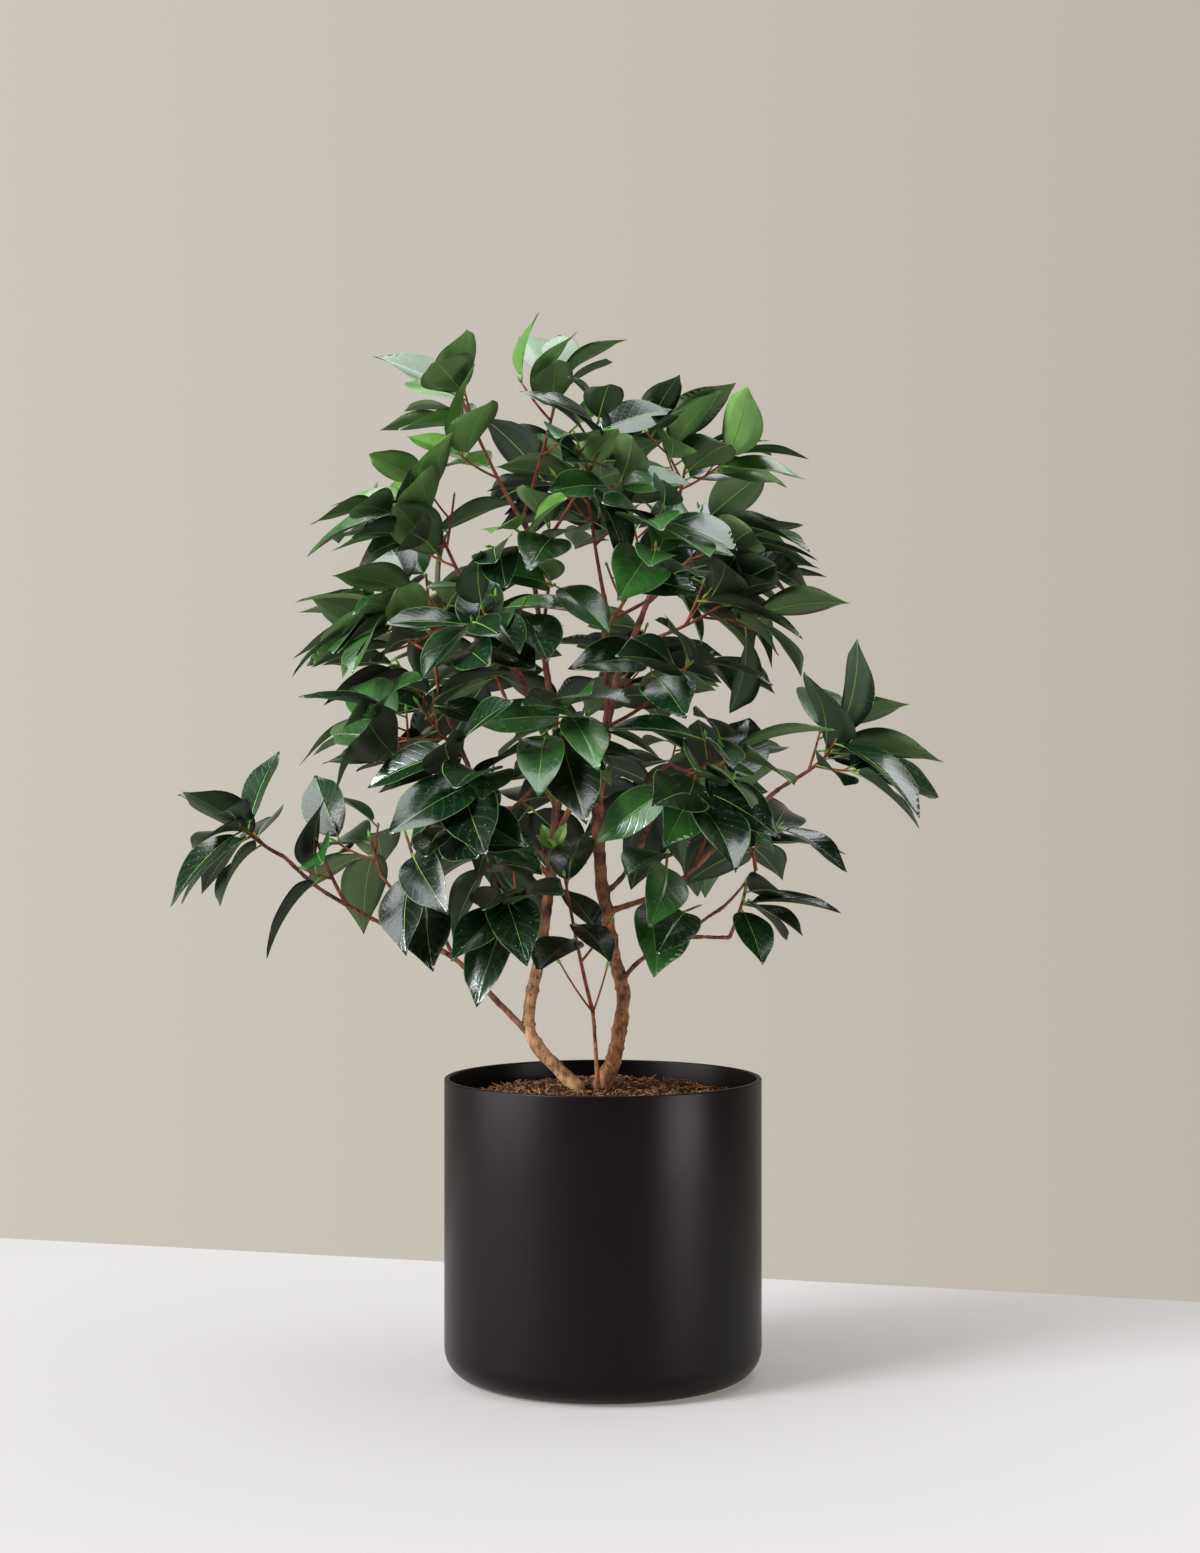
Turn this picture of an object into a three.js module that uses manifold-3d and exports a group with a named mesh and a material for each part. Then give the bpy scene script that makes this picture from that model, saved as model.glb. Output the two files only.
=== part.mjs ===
// A camellia shrub grown in a round pot, in millimetres, +Z up.
// The origin is the middle of the pot's flat underside; the front of the shrub faces -Y.
import * as THREE from 'three';
import { mergeVertices } from 'three/addons/utils/BufferGeometryUtils.js';
import Module from 'manifold-3d';

const wasm = await Module();
wasm.setup();

// Pot: a straight-sided cylinder with a rounded bottom edge and a rounded lip.
const POT_DIAMETER = 254;
const POT_HEIGHT = 238;
const POT_WALL = 4;
const POT_FLOOR = 5;
const POT_EDGE_RADIUS = 24;
const ROUND_SIDES = 48;
const ARC_STEPS = 4;
const INNER_ARC_STEPS = 2;

// Potting mix: level round the stems, just under the rim, and sunk a little along the wall.
const SOIL_EDGE_BELOW_RIM = 18;
const SOIL_TOP_BELOW_RIM = 8;
const SOIL_FLAT_RADIUS = 70;

// Joints between solids stay this far open.
const GAP = 0.3;
const STEM_FOOT = POT_HEIGHT - SOIL_TOP_BELOW_RIM + GAP;

// Wood: how finely limbs are stepped, the side that a tube's first corner faces, and how thick
// the twigs are.
const STEPS_PER_SPAN = 2;
const STEM_SIDES = 8;
const BOUGH_SIDES = 5;
const TWIG_SIDES = 3;
const FLARE_HEIGHT = 9;
const TUBE_SIDE = new THREE.Vector3(1, 0.2, 0.1);
const MAIN_TWIG_RADII = [2.2, 1.5];
const SIDE_TWIG_RADII = [1.7, 1.3];
const TWIG_SAG = 0.1;
const SIDE_TWIG_SAG = 0.08;
const MAIN_TWIG_STEPS = 3;
const SIDE_TWIG_STEPS = 2;

// Leaves: shares of a leaf's own length, the blade's width at stations along it as shares of its
// half width, and spacings along a twig.
const LEAF_THICKNESS = 0.02;
const LEAF_FOLD = 0.25;
const LEAF_ROOT_SUNK = 0.5;
const LEAF_STATIONS = [
  [0.25, 0.62], [0.42, 0.97], [0.55, 1.0], [0.7, 0.8], [0.84, 0.42], [1, 0],
];
const ROSETTE_LEAVES = 4;
const ROSETTE_SPACING = 5;
const LEAF_SPACING = 13;
const LEAF_SWINGS = [0, 0.9, -0.9];
const GOLDEN_ANGLE = THREE.MathUtils.degToRad(137.5);

// Habit of a side twig: where on the main twig it may leave, how its length falls towards the
// tip and varies, and how far it heads along the main twig, away from it, outwards and up.
const SIDE_TWIG = {
  firstShare: 0.3, shareSpan: 0.52, turnJitter: 0.6,
  length: 1.15, shortening: 0.45, leastLength: 0.8, lengthRange: 0.4,
  ahead: 0.6, aside: 0.8, outward: 0.25, rise: 0.15,
};
const SIDE_TWIG_BARE = 0.2;
const MAIN_TWIG_BARE = 0.45;
const SPACE_CENTRE_SHARE = 0.75;

// Habit of a leaf: degrees it opens from its twig, wider for each leaf behind the tip, its size
// against the mass's leaf length, its arch over its length, the share of its rise that it keeps
// as it levels out, and which way its face turns.
const LEAF = {
  turnJitter: 0.5, open: 36, openStep: 10, openSteps: 4, openJitter: 16,
  leastLength: 0.86, lengthRange: 0.28, tipLeafLength: 0.9,
  leastHalf: 0.235, halfRange: 0.04, leastArch: 0.16, archRange: 0.26, rollRange: 0.8,
  levelling: 0.7, faceUp: 0.85, faceOutward: 0.5, faceAhead: 0.35,
};
// The five corners of a leaf's blade: shares of its length, and of its half width.
const BLADE_FOOT = 0.15;
const BLADE_MIDDLE = 0.5;

// What a twig or leaf keeps clear of.
const LEAF_TO_SPACE_EDGE = 1.2;
const TWIG_TO_SPACE_EDGE = 3;
const LEAF_TO_LIMB = 4;
const TWIG_TO_LIMB = 3;

const UP = new THREE.Vector3(0, 0, 1);
const CROWN_MIDDLE_X = -15;
const OUTWARD_EASE = 40;

// Stems stand on the soil; every other limb leaves its parent at a share of the parent's length.
const LIMBS = [
  { name: 'left_stem', radii: [5.4, 3.9], flare: 1.4,
    route: [[-21, -7, STEM_FOOT], [-53, -9, 265], [-59, -8, 290], [-49, -5, 344],
      [-40, -2, 417], [-34, 0, 492]] },
  { name: 'right_stem', radii: [6.2, 4.4], flare: 2.2,
    route: [[-1, 3, STEM_FOOT], [10, 4, 258], [16, 4, 303], [8, 4, 339], [-2, 5, 405],
      [-4, 6, 468], [2, 8, 512]] },
  { name: 'middle_stem', radii: [1.9, 1.5], flare: 0.4,
    route: [[-4, -11, STEM_FOOT], [-6, -12, 265], [-8, -13, 291]] },
  { name: 'low_left_bough', from: 'left_stem', at: 0.19, radii: [2.6, 2],
    route: [[-85, -16, 301], [-114, -28, 332], [-133, -35, 345]] },
  { name: 'left_reach', from: 'low_left_bough', at: 1, radii: [2, 1.5],
    route: [[-169, -42, 361], [-220, -50, 390], [-250, -54, 417]] },
  { name: 'left_low_fork', from: 'low_left_bough', at: 0.93, radii: [1.6, 1.3],
    route: [[-140, -25, 355], [-158, -20, 377], [-176, -18, 400]] },
  { name: 'left_mid_bough', from: 'left_stem', at: 0.66, radii: [2.2, 1.6],
    route: [[-70, -25, 430], [-107, -45, 458], [-123, -52, 471]] },
  { name: 'left_up_bough', from: 'left_stem', at: 0.7, radii: [2.2, 1.6],
    route: [[-73, 20, 440], [-103, 40, 474], [-119, 52, 509], [-134, 58, 540]] },
  { name: 'left_leader', from: 'left_stem', at: 1, radii: [3, 2],
    route: [[-54, -8, 526], [-68, -15, 564], [-82, -22, 584], [-99, -30, 612]] },
  { name: 'middle_leader', from: 'left_stem', at: 1, radii: [3.3, 2],
    route: [[-42, -2, 542], [-50, -4, 598], [-59, -3, 663], [-63, 0, 690]] },
  { name: 'crossing_bough', from: 'left_stem', at: 0.77, radii: [2.6, 1.9],
    route: [[-8, -12, 491], [3, -14, 520], [3, -12, 556], [0, -8, 600]] },
  { name: 'right_leader', from: 'right_stem', at: 1, radii: [3.4, 2.4],
    route: [[12, 12, 561], [26, 14, 594], [40, 10, 631]] },
  { name: 'right_top_bough', from: 'right_leader', at: 1, radii: [2.3, 1.8],
    route: [[50, 12, 660], [58, 14, 690]] },
  { name: 'right_low_bough', from: 'right_stem', at: 0.3, radii: [2, 1.4],
    route: [[30, -6, 332], [61, -20, 350], [100, -32, 352]] },
  { name: 'right_low_fork', from: 'right_low_bough', at: 0.62, radii: [1.5, 1.2],
    route: [[82, -16, 366], [99, -14, 378], [122, -10, 404]] },
  { name: 'right_long_bough', from: 'right_stem', at: 0.5, radii: [2.5, 1.7],
    route: [[53, -15, 390], [97, -30, 431], [132, -38, 464], [150, -41, 477]] },
  { name: 'right_inner_bough', from: 'right_stem', at: 0.68, radii: [1.9, 1.4],
    route: [[14, -20, 452], [34, -55, 474], [52, -70, 490]] },
  { name: 'back_low_bough', from: 'right_stem', at: 0.55, radii: [2.2, 1.6],
    route: [[18, 30, 400], [34, 66, 428], [44, 92, 452]] },
  { name: 'back_left_bough', from: 'left_stem', at: 0.86, radii: [2.2, 1.6],
    route: [[-52, 36, 478], [-70, 70, 512], [-82, 96, 545]] },
  { name: 'back_up_bough', from: 'right_stem', at: 1, radii: [2.6, 1.8],
    route: [[4, 34, 552], [6, 66, 598], [0, 84, 632]] },
];

// Masses of foliage: the limb and place each grows from, where its main twig ends, how many side
// twigs it may have and how long they are, its leaf length, and how much its leaves rise or hang.
const MASSES = [
  { name: 'crown_top', limb: 'middle_leader', at: 1, tip: [-34, 4, 798],
    twigs: 2, reach: 40, leaf: 74, lift: 0.45 },
  { name: 'top_left', limb: 'middle_leader', at: 0.93, tip: [-115, -8, 786],
    twigs: 3, reach: 46, leaf: 76, lift: 0.25 },
  { name: 'top_right', limb: 'right_top_bough', at: 1, tip: [66, 12, 726],
    twigs: 3, reach: 44, leaf: 78, lift: 0.05 },
  { name: 'top_middle', limb: 'middle_leader', at: 0.8, tip: [4, -46, 748],
    twigs: 3, reach: 46, leaf: 80, lift: 0.25 },
  { name: 'top_back', limb: 'back_up_bough', at: 1, tip: [-15, 90, 730],
    twigs: 3, reach: 60, leaf: 74, lift: 0.05 },
  { name: 'upper_left', limb: 'left_leader', at: 1, tip: [-140, -28, 700],
    twigs: 3, reach: 48, leaf: 84, lift: 0.05 },
  { name: 'upper_left_back', limb: 'left_up_bough', at: 1, tip: [-145, 60, 640],
    twigs: 3, reach: 55, leaf: 76, lift: -0.05 },
  { name: 'upper_right', limb: 'right_leader', at: 0.88, tip: [92, 8, 684],
    twigs: 3, reach: 52, leaf: 84, lift: -0.05 },
  { name: 'upper_right_back', limb: 'back_up_bough', at: 0.8, tip: [85, 95, 660],
    twigs: 3, reach: 60, leaf: 76, lift: 0 },
  { name: 'left_shoulder', limb: 'left_leader', at: 0.85, tip: [-160, -40, 604],
    twigs: 3, reach: 50, leaf: 84, lift: -0.1 },
  { name: 'front_shoulder', limb: 'left_leader', at: 0.5, tip: [-92, -98, 608],
    twigs: 4, reach: 50, leaf: 80, lift: -0.2 },
  { name: 'upper_heart', limb: 'middle_leader', at: 0.5, tip: [-38, -88, 664],
    twigs: 4, reach: 50, leaf: 80, lift: -0.15 },
  { name: 'left_waist', limb: 'left_up_bough', at: 0.7, tip: [-150, 30, 538],
    twigs: 3, reach: 50, leaf: 80, lift: -0.2 },
  { name: 'left_side', limb: 'left_mid_bough', at: 1, tip: [-160, -58, 505],
    twigs: 3, reach: 48, leaf: 86, lift: -0.2 },
  { name: 'left_front', limb: 'left_mid_bough', at: 0.55, tip: [-110, -115, 478],
    twigs: 4, reach: 48, leaf: 86, lift: -0.35 },
  { name: 'centre_front', limb: 'crossing_bough', at: 0.2, tip: [-32, -108, 512],
    twigs: 4, reach: 50, leaf: 86, lift: -0.35 },
  { name: 'upper_front', limb: 'crossing_bough', at: 0.97, tip: [40, -72, 662],
    twigs: 4, reach: 50, leaf: 84, lift: -0.05 },
  { name: 'right_shoulder', limb: 'right_leader', at: 0.6, tip: [98, -10, 618],
    twigs: 3, reach: 50, leaf: 84, lift: -0.15 },
  { name: 'right_front', limb: 'crossing_bough', at: 0.55, tip: [66, -90, 566],
    twigs: 4, reach: 50, leaf: 86, lift: -0.25 },
  { name: 'right_waist', limb: 'right_inner_bough', at: 1, tip: [78, -100, 480],
    twigs: 3, reach: 48, leaf: 88, lift: -0.35 },
  { name: 'right_reach', limb: 'right_long_bough', at: 1, tip: [178, -46, 498],
    twigs: 3, reach: 34, leaf: 92, lift: 0 },
  { name: 'right_middle', limb: 'right_long_bough', at: 0.45, tip: [100, -4, 500],
    twigs: 3, reach: 46, leaf: 80, lift: -0.15 },
  { name: 'low_right', limb: 'right_low_bough', at: 1, tip: [112, -40, 388],
    twigs: 2, reach: 26, leaf: 72, lift: -0.2 },
  { name: 'right_hem', limb: 'right_low_fork', at: 1, tip: [118, -6, 434],
    twigs: 3, reach: 30, leaf: 74, lift: -0.3 },
  { name: 'low_right_front', limb: 'right_low_bough', at: 0.4, tip: [50, -76, 420],
    twigs: 3, reach: 44, leaf: 86, lift: -0.3 },
  { name: 'low_middle', limb: 'middle_stem', at: 1, tip: [-30, -62, 402],
    twigs: 3, reach: 44, leaf: 74, lift: 0 },
  { name: 'low_left_front', limb: 'left_stem', at: 0.42, tip: [-88, -84, 414],
    twigs: 3, reach: 44, leaf: 78, lift: -0.2 },
  { name: 'left_tip', limb: 'left_reach', at: 1, tip: [-278, -56, 436],
    twigs: 2, reach: 24, leaf: 74, lift: -0.35 },
  { name: 'left_reach_side', limb: 'left_reach', at: 0.55, tip: [-222, -76, 430],
    twigs: 2, reach: 30, leaf: 74, lift: 0.05 },
  { name: 'left_hem', limb: 'low_left_bough', at: 0.82, tip: [-152, -84, 434],
    twigs: 2, reach: 36, leaf: 88, lift: -0.3 },
  { name: 'left_fork', limb: 'left_low_fork', at: 1, tip: [-186, -8, 430],
    twigs: 3, reach: 38, leaf: 80, lift: -0.1 },
  { name: 'back_left', limb: 'back_left_bough', at: 1, tip: [-95, 140, 580],
    twigs: 3, reach: 62, leaf: 78, lift: -0.1 },
  { name: 'back_middle', limb: 'back_up_bough', at: 0.35, tip: [30, 140, 560],
    twigs: 3, reach: 62, leaf: 78, lift: -0.1 },
  { name: 'back_low_left', limb: 'back_left_bough', at: 0.3, tip: [-95, 96, 440],
    twigs: 3, reach: 58, leaf: 78, lift: -0.2 },
  { name: 'back_low', limb: 'back_low_bough', at: 1, tip: [52, 136, 470],
    twigs: 3, reach: 62, leaf: 78, lift: -0.2 },
];

const vector = (values) => new THREE.Vector3(...values);

// Random numbers that are the same each time. Each mass has its own run, by its place in the list.
const RANDOM_START = 48271;
const RANDOM_STEP = 16807;
const RANDOM_RANGE = 2147483647;

function seeded(seed) {
  let state = (RANDOM_START * (seed + 1)) % RANDOM_RANGE;
  const draw = () => {
    state = (state * RANDOM_STEP) % RANDOM_RANGE;
    return state / RANDOM_RANGE;
  };
  draw();
  draw();
  return draw;
}

// A smooth line through the given points, as evenly counted steps between each two.
function smoothLine(points) {
  const first = points[0].clone().multiplyScalar(2).sub(points[1]);
  const last = points.at(-1).clone().multiplyScalar(2).sub(points.at(-2));
  const ends = [first, ...points, last];
  const line = [];
  for (let i = 1; i < ends.length - 2; i += 1) {
    const [a, b, c, d] = ends.slice(i - 1, i + 3);
    for (let k = 0; k < STEPS_PER_SPAN; k += 1) {
      const t = k / STEPS_PER_SPAN;
      const weights = [
        -t + 2 * t * t - t ** 3, 2 - 5 * t * t + 3 * t ** 3,
        t + 4 * t * t - 3 * t ** 3, -t * t + t ** 3,
      ];
      const point = new THREE.Vector3();
      [a, b, c, d].forEach((p, n) => point.addScaledVector(p, weights[n] / 2));
      line.push(point);
    }
  }
  line.push(points.at(-1).clone());
  return line;
}

function lineLength(line) {
  return line.slice(1).reduce((sum, p, i) => sum + p.distanceTo(line[i]), 0);
}

// The point and direction at a share of a line's length.
function along(line, share) {
  let left = share * lineLength(line);
  let i = 0;
  while (i < line.length - 2 && left >= line[i + 1].distanceTo(line[i])) {
    left -= line[i + 1].distanceTo(line[i]);
    i += 1;
  }
  const step = line[i + 1].clone().sub(line[i]);
  const point = line[i].clone().addScaledVector(step, left / step.length());
  return { point, direction: step.normalize() };
}

// A twig's line: it leaves low and rises to its tip.
function twigLine(root, tip, sag, steps) {
  const middle = root.clone().add(tip).multiplyScalar(0.5);
  middle.addScaledVector(UP, -sag * tip.distanceTo(root));
  return new THREE.QuadraticBezierCurve3(root, middle, tip).getPoints(steps);
}

// A closed tapering tube round a line. A foot is cut level where it stands on the soil.
function taperedTube(line, radiusAt, sides, levelFoot = false) {
  const positions = [];
  const index = [];
  let normal = TUBE_SIDE.clone();
  line.forEach((point, ring) => {
    const before = line[Math.max(ring - 1, 0)];
    const after = line[Math.min(ring + 1, line.length - 1)];
    const axis = after.clone().sub(before).normalize();
    normal = normal.clone().addScaledVector(axis, -normal.dot(axis)).normalize();
    const across = axis.clone().cross(normal);
    for (let k = 0; k < sides; k += 1) {
      const angle = (2 * Math.PI * k) / sides;
      const corner = point.clone();
      corner.addScaledVector(normal, radiusAt(ring) * Math.cos(angle));
      corner.addScaledVector(across, radiusAt(ring) * Math.sin(angle));
      if (levelFoot && ring === 0) {
        corner.addScaledVector(axis, (point.z - corner.z) / axis.z);
      }
      positions.push(corner.x, corner.y, corner.z);
      if (ring > 0) {
        const a = (ring - 1) * sides + k;
        const b = (ring - 1) * sides + ((k + 1) % sides);
        index.push(a, b, b + sides, a, b + sides, a + sides);
      }
    }
  });
  const top = (line.length - 1) * sides;
  for (let k = 1; k < sides - 1; k += 1) {
    index.push(0, k + 1, k, top, top + k, top + k + 1);
  }
  const geometry = new THREE.BufferGeometry();
  geometry.setAttribute('position', new THREE.Float32BufferAttribute(positions, 3));
  geometry.setIndex(index);
  return geometry;
}

// Solids for joining and cutting, and back again.
function toSolid(geometry) {
  const bare = geometry.clone();
  bare.deleteAttribute('normal');
  bare.deleteAttribute('uv');
  const merged = mergeVertices(bare);
  return new wasm.Manifold(new wasm.Mesh({
    numProp: 3,
    vertProperties: new Float32Array(merged.attributes.position.array),
    triVerts: new Uint32Array(merged.index.array),
  }));
}

// Only the largest body of a cut or joined solid is kept, so scraps and hollows go.
function toGeometry(solid) {
  const bodies = solid.decompose();
  const largest = bodies.reduce((best, body) => (body.volume() > best.volume() ? body : best));
  const mesh = largest.getMesh();
  const geometry = new THREE.BufferGeometry();
  geometry.setAttribute('position', new THREE.BufferAttribute(mesh.vertProperties, 3));
  geometry.setIndex(new THREE.BufferAttribute(mesh.triVerts, 1));
  geometry.computeVertexNormals();
  return geometry;
}

// Limbs: their lines, their thickness, and their solids cut clear of the ones before them.
const limbLines = {};
for (const limb of LIMBS) {
  const points = limb.route.map(vector);
  if (limb.from) {
    points.unshift(along(limbLines[limb.from], limb.at).point);
  }
  limbLines[limb.name] = smoothLine(points);
}

function limbRadius(limb, extra = 0) {
  const line = limbLines[limb.name];
  return (ring) => {
    const share = ring / (line.length - 1);
    const height = line[ring].z - line[0].z;
    const flare = (limb.flare ?? 0) * Math.exp(-height / FLARE_HEIGHT);
    return THREE.MathUtils.lerp(...limb.radii, share) + flare + extra;
  };
}

// A limb's tube made thicker and longer by the gap, for cutting what meets it.
function limbClearance(limb) {
  const line = limbLines[limb.name].map((point) => point.clone());
  const start = line[0].clone().sub(line[1]).setLength(GAP);
  const end = line.at(-1).clone().sub(line.at(-2)).setLength(GAP);
  line[0].add(start);
  line.at(-1).add(end);
  const sides = limb.from ? BOUGH_SIDES : STEM_SIDES;
  return toSolid(taperedTube(line, limbRadius(limb, GAP / Math.cos(Math.PI / sides)), sides));
}

function limbGeometries() {
  const clearances = {};
  const geometries = {};
  for (const limb of LIMBS) {
    const sides = limb.from ? BOUGH_SIDES : STEM_SIDES;
    const tube = taperedTube(limbLines[limb.name], limbRadius(limb), sides, !limb.from);
    let solid = toSolid(tube);
    for (const other of Object.values(clearances)) {
      solid = solid.subtract(other);
    }
    geometries[limb.name] = toGeometry(solid);
    clearances[limb.name] = limbClearance(limb);
  }
  return { geometries, clearances };
}

// Masses: each has a main twig, and the space that is nearer its own centre than any other's.
const masses = MASSES.map((mass, place) => {
  const root = along(limbLines[mass.limb], mass.at).point;
  const tip = vector(mass.tip);
  const stem = twigLine(root, tip, TWIG_SAG, MAIN_TWIG_STEPS);
  return { ...mass, place, stem, centre: root.clone().lerp(tip, SPACE_CENTRE_SHARE) };
});

function insideSpace(mass, points, margin) {
  return masses.every((other) => {
    if (other.name === mass.name) {
      return true;
    }
    const apart = 2 * other.centre.distanceTo(mass.centre);
    return points.every((p) => {
      const difference = p.distanceToSquared(other.centre) - p.distanceToSquared(mass.centre);
      return difference / apart > margin;
    });
  });
}

// The wood that leaves keep off: all limbs, and the other masses' main twigs.
function pieces(line, radii, owner) {
  return line.slice(1).map((end, i) => {
    const shares = [i / (line.length - 1), (i + 1) / (line.length - 1)];
    const radius = shares.reduce((sum, s) => sum + THREE.MathUtils.lerp(...radii, s) / 2, 0);
    return { segment: new THREE.Line3(line[i], end), radius, owner };
  });
}
const wood = [
  ...LIMBS.flatMap((limb) => pieces(limbLines[limb.name], limb.radii, null)),
  ...masses.flatMap((mass) => pieces(mass.stem, MAIN_TWIG_RADII, mass.name)),
];
const nearest = new THREE.Vector3();

function clearOfWood(mass, points, gap) {
  return wood.every(({ segment, radius, owner }) => owner === mass.name || points.every((p) => {
    segment.closestPointToPoint(p, true, nearest);
    return nearest.distanceTo(p) - radius > gap;
  }));
}

function outwardFrom(point) {
  const outward = new THREE.Vector3(point.x - CROWN_MIDDLE_X, point.y, 0);
  return outward.divideScalar(Math.max(outward.length(), OUTWARD_EASE));
}

// The direction at an angle round a twig.
function around(axis, angle) {
  const side = axis.clone().cross(UP).normalize();
  const rise = side.clone().cross(axis);
  return side.multiplyScalar(Math.cos(angle)).addScaledVector(rise, Math.sin(angle));
}

// Side twigs leave the main twig by the golden angle, shorter towards its tip.
function growShoots(mass, random) {
  const shoots = [{ line: mass.stem, radii: MAIN_TWIG_RADII, bare: MAIN_TWIG_BARE }];
  const turn = random() * 2 * Math.PI;
  for (let i = 0; i < mass.twigs; i += 1) {
    const share = SIDE_TWIG.firstShare + (SIDE_TWIG.shareSpan * (i + 0.5)) / mass.twigs;
    const { point, direction } = along(mass.stem, share);
    const angle = turn + i * GOLDEN_ANGLE + (random() - 0.5) * SIDE_TWIG.turnJitter;
    const taper = SIDE_TWIG.length - SIDE_TWIG.shortening * share;
    const length = mass.reach * taper * (SIDE_TWIG.leastLength + SIDE_TWIG.lengthRange * random());
    const heading = direction.clone().multiplyScalar(SIDE_TWIG.ahead);
    heading.addScaledVector(around(direction, angle), SIDE_TWIG.aside);
    heading.addScaledVector(outwardFrom(point), SIDE_TWIG.outward);
    heading.addScaledVector(UP, SIDE_TWIG.rise).normalize();
    const tip = point.clone().addScaledVector(heading, length);
    const line = twigLine(point, tip, SIDE_TWIG_SAG, SIDE_TWIG_STEPS);
    if (insideSpace(mass, line.slice(1), TWIG_TO_SPACE_EDGE)
        && clearOfWood(mass, line.slice(1), TWIG_TO_LIMB)) {
      shoots.push({ line, radii: SIDE_TWIG_RADII, bare: SIDE_TWIG_BARE });
    }
  }
  return shoots;
}

// What is drawn for one leaf: its turn round the twig, how far it opens, its size and its set.
function drawLeaf(mass, turn, order, random) {
  const angle = turn + order * GOLDEN_ANGLE + (random() - 0.5) * LEAF.turnJitter;
  const widened = LEAF.open + LEAF.openStep * Math.min(order, LEAF.openSteps);
  const open = THREE.MathUtils.degToRad(widened + (random() - 0.5) * LEAF.openJitter);
  const age = order === 0 ? LEAF.tipLeafLength : 1;
  const length = mass.leaf * (LEAF.leastLength + LEAF.lengthRange * random()) * age;
  const half = length * (LEAF.leastHalf + LEAF.halfRange * random());
  const arch = LEAF.leastArch + LEAF.archRange * random();
  const roll = (random() - 0.5) * LEAF.rollRange;
  return { angle, open, length, half, arch, roll };
}

// A leaf in its place: its root, its own directions, its size and how far it arches over.
function placeLeaf(mass, drawn, root, axis, swing) {
  const heading = axis.clone().multiplyScalar(Math.cos(drawn.open));
  heading.addScaledVector(around(axis, drawn.angle + swing), Math.sin(drawn.open));
  heading.z *= LEAF.levelling;
  heading.addScaledVector(UP, mass.lift).normalize();
  const face = UP.clone().multiplyScalar(LEAF.faceUp);
  face.addScaledVector(outwardFrom(root), LEAF.faceOutward).addScaledVector(axis, LEAF.faceAhead);
  face.addScaledVector(heading, -face.dot(heading)).normalize();
  face.addScaledVector(heading.clone().cross(face), drawn.roll).normalize();
  return { ...drawn, root, heading, face, across: heading.clone().cross(face) };
}

// A point on a leaf at a share of its length, and a share of its half width to one side.
function leafPoint(leaf, share, side) {
  const point = leaf.root.clone().addScaledVector(leaf.heading, leaf.length * share);
  point.addScaledVector(leaf.face, -leaf.arch * leaf.length * share * share);
  point.addScaledVector(leaf.across, leaf.half * side);
  return point.addScaledVector(leaf.face, leaf.half * Math.abs(side) * LEAF_FOLD);
}

// A leaf's blade as four flat faces round its middle, and their edges.
function leafBlade(leaf) {
  const rim = [[BLADE_FOOT, 0], [BLADE_MIDDLE, 1], [1, 0], [BLADE_MIDDLE, -1]]
    .map((place) => leafPoint(leaf, ...place));
  const middle = leafPoint(leaf, BLADE_MIDDLE, 0);
  const faces = rim.map((corner, k) => [corner, rim[(k + 1) % 4], middle]);
  const edges = faces.flatMap(([a, b]) => [new THREE.Line3(a, b), new THREE.Line3(a, middle)]);
  return { faces, edges };
}

function cuts(blade, other) {
  return blade.edges.some(({ start, end }) => {
    const ray = new THREE.Ray(start, end.clone().sub(start).normalize());
    return other.faces.some((face) => {
      const hit = ray.intersectTriangle(...face, false, nearest);
      return hit !== null && hit.distanceTo(start) <= start.distanceTo(end);
    });
  });
}

function leafFits(mass, leaf, blade, blades) {
  const outline = LEAF_STATIONS.flatMap(([share, width]) => [
    leafPoint(leaf, share, 0), leafPoint(leaf, share, width), leafPoint(leaf, share, -width),
  ]);
  return insideSpace(mass, outline, LEAF_TO_SPACE_EDGE)
    && clearOfWood(mass, outline, LEAF_TO_LIMB)
    && blades.every((other) => !cuts(blade, other) && !cuts(other, blade));
}

// Leaves crowd at a twig's tip and stand apart behind it. One that doesn't fit is swung to
// either side, and then left out. A side twig that carries no leaf is left out too.
function growLeaves(mass, shoots, random) {
  const blades = [];
  const leafy = [];
  for (const shoot of shoots) {
    const { line, bare } = shoot;
    const length = lineLength(line);
    const turn = random() * 2 * Math.PI;
    const leaves = [];
    let order = 0;
    let back = 0;
    while (back < length * (1 - bare)) {
      const { point, direction } = along(line, 1 - back / length);
      const drawn = drawLeaf(mass, turn, order, random);
      for (const swing of LEAF_SWINGS) {
        const leaf = placeLeaf(mass, drawn, point, direction, swing);
        const blade = leafBlade(leaf);
        if (leafFits(mass, leaf, blade, blades)) {
          leaves.push(leaf);
          blades.push(blade);
          break;
        }
      }
      order += 1;
      back += order < ROSETTE_LEAVES ? ROSETTE_SPACING : LEAF_SPACING;
    }
    if (leaves.length > 0 || leafy.length === 0) {
      leafy.push({ ...shoot, leaves });
    }
  }
  return leafy;
}

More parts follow.
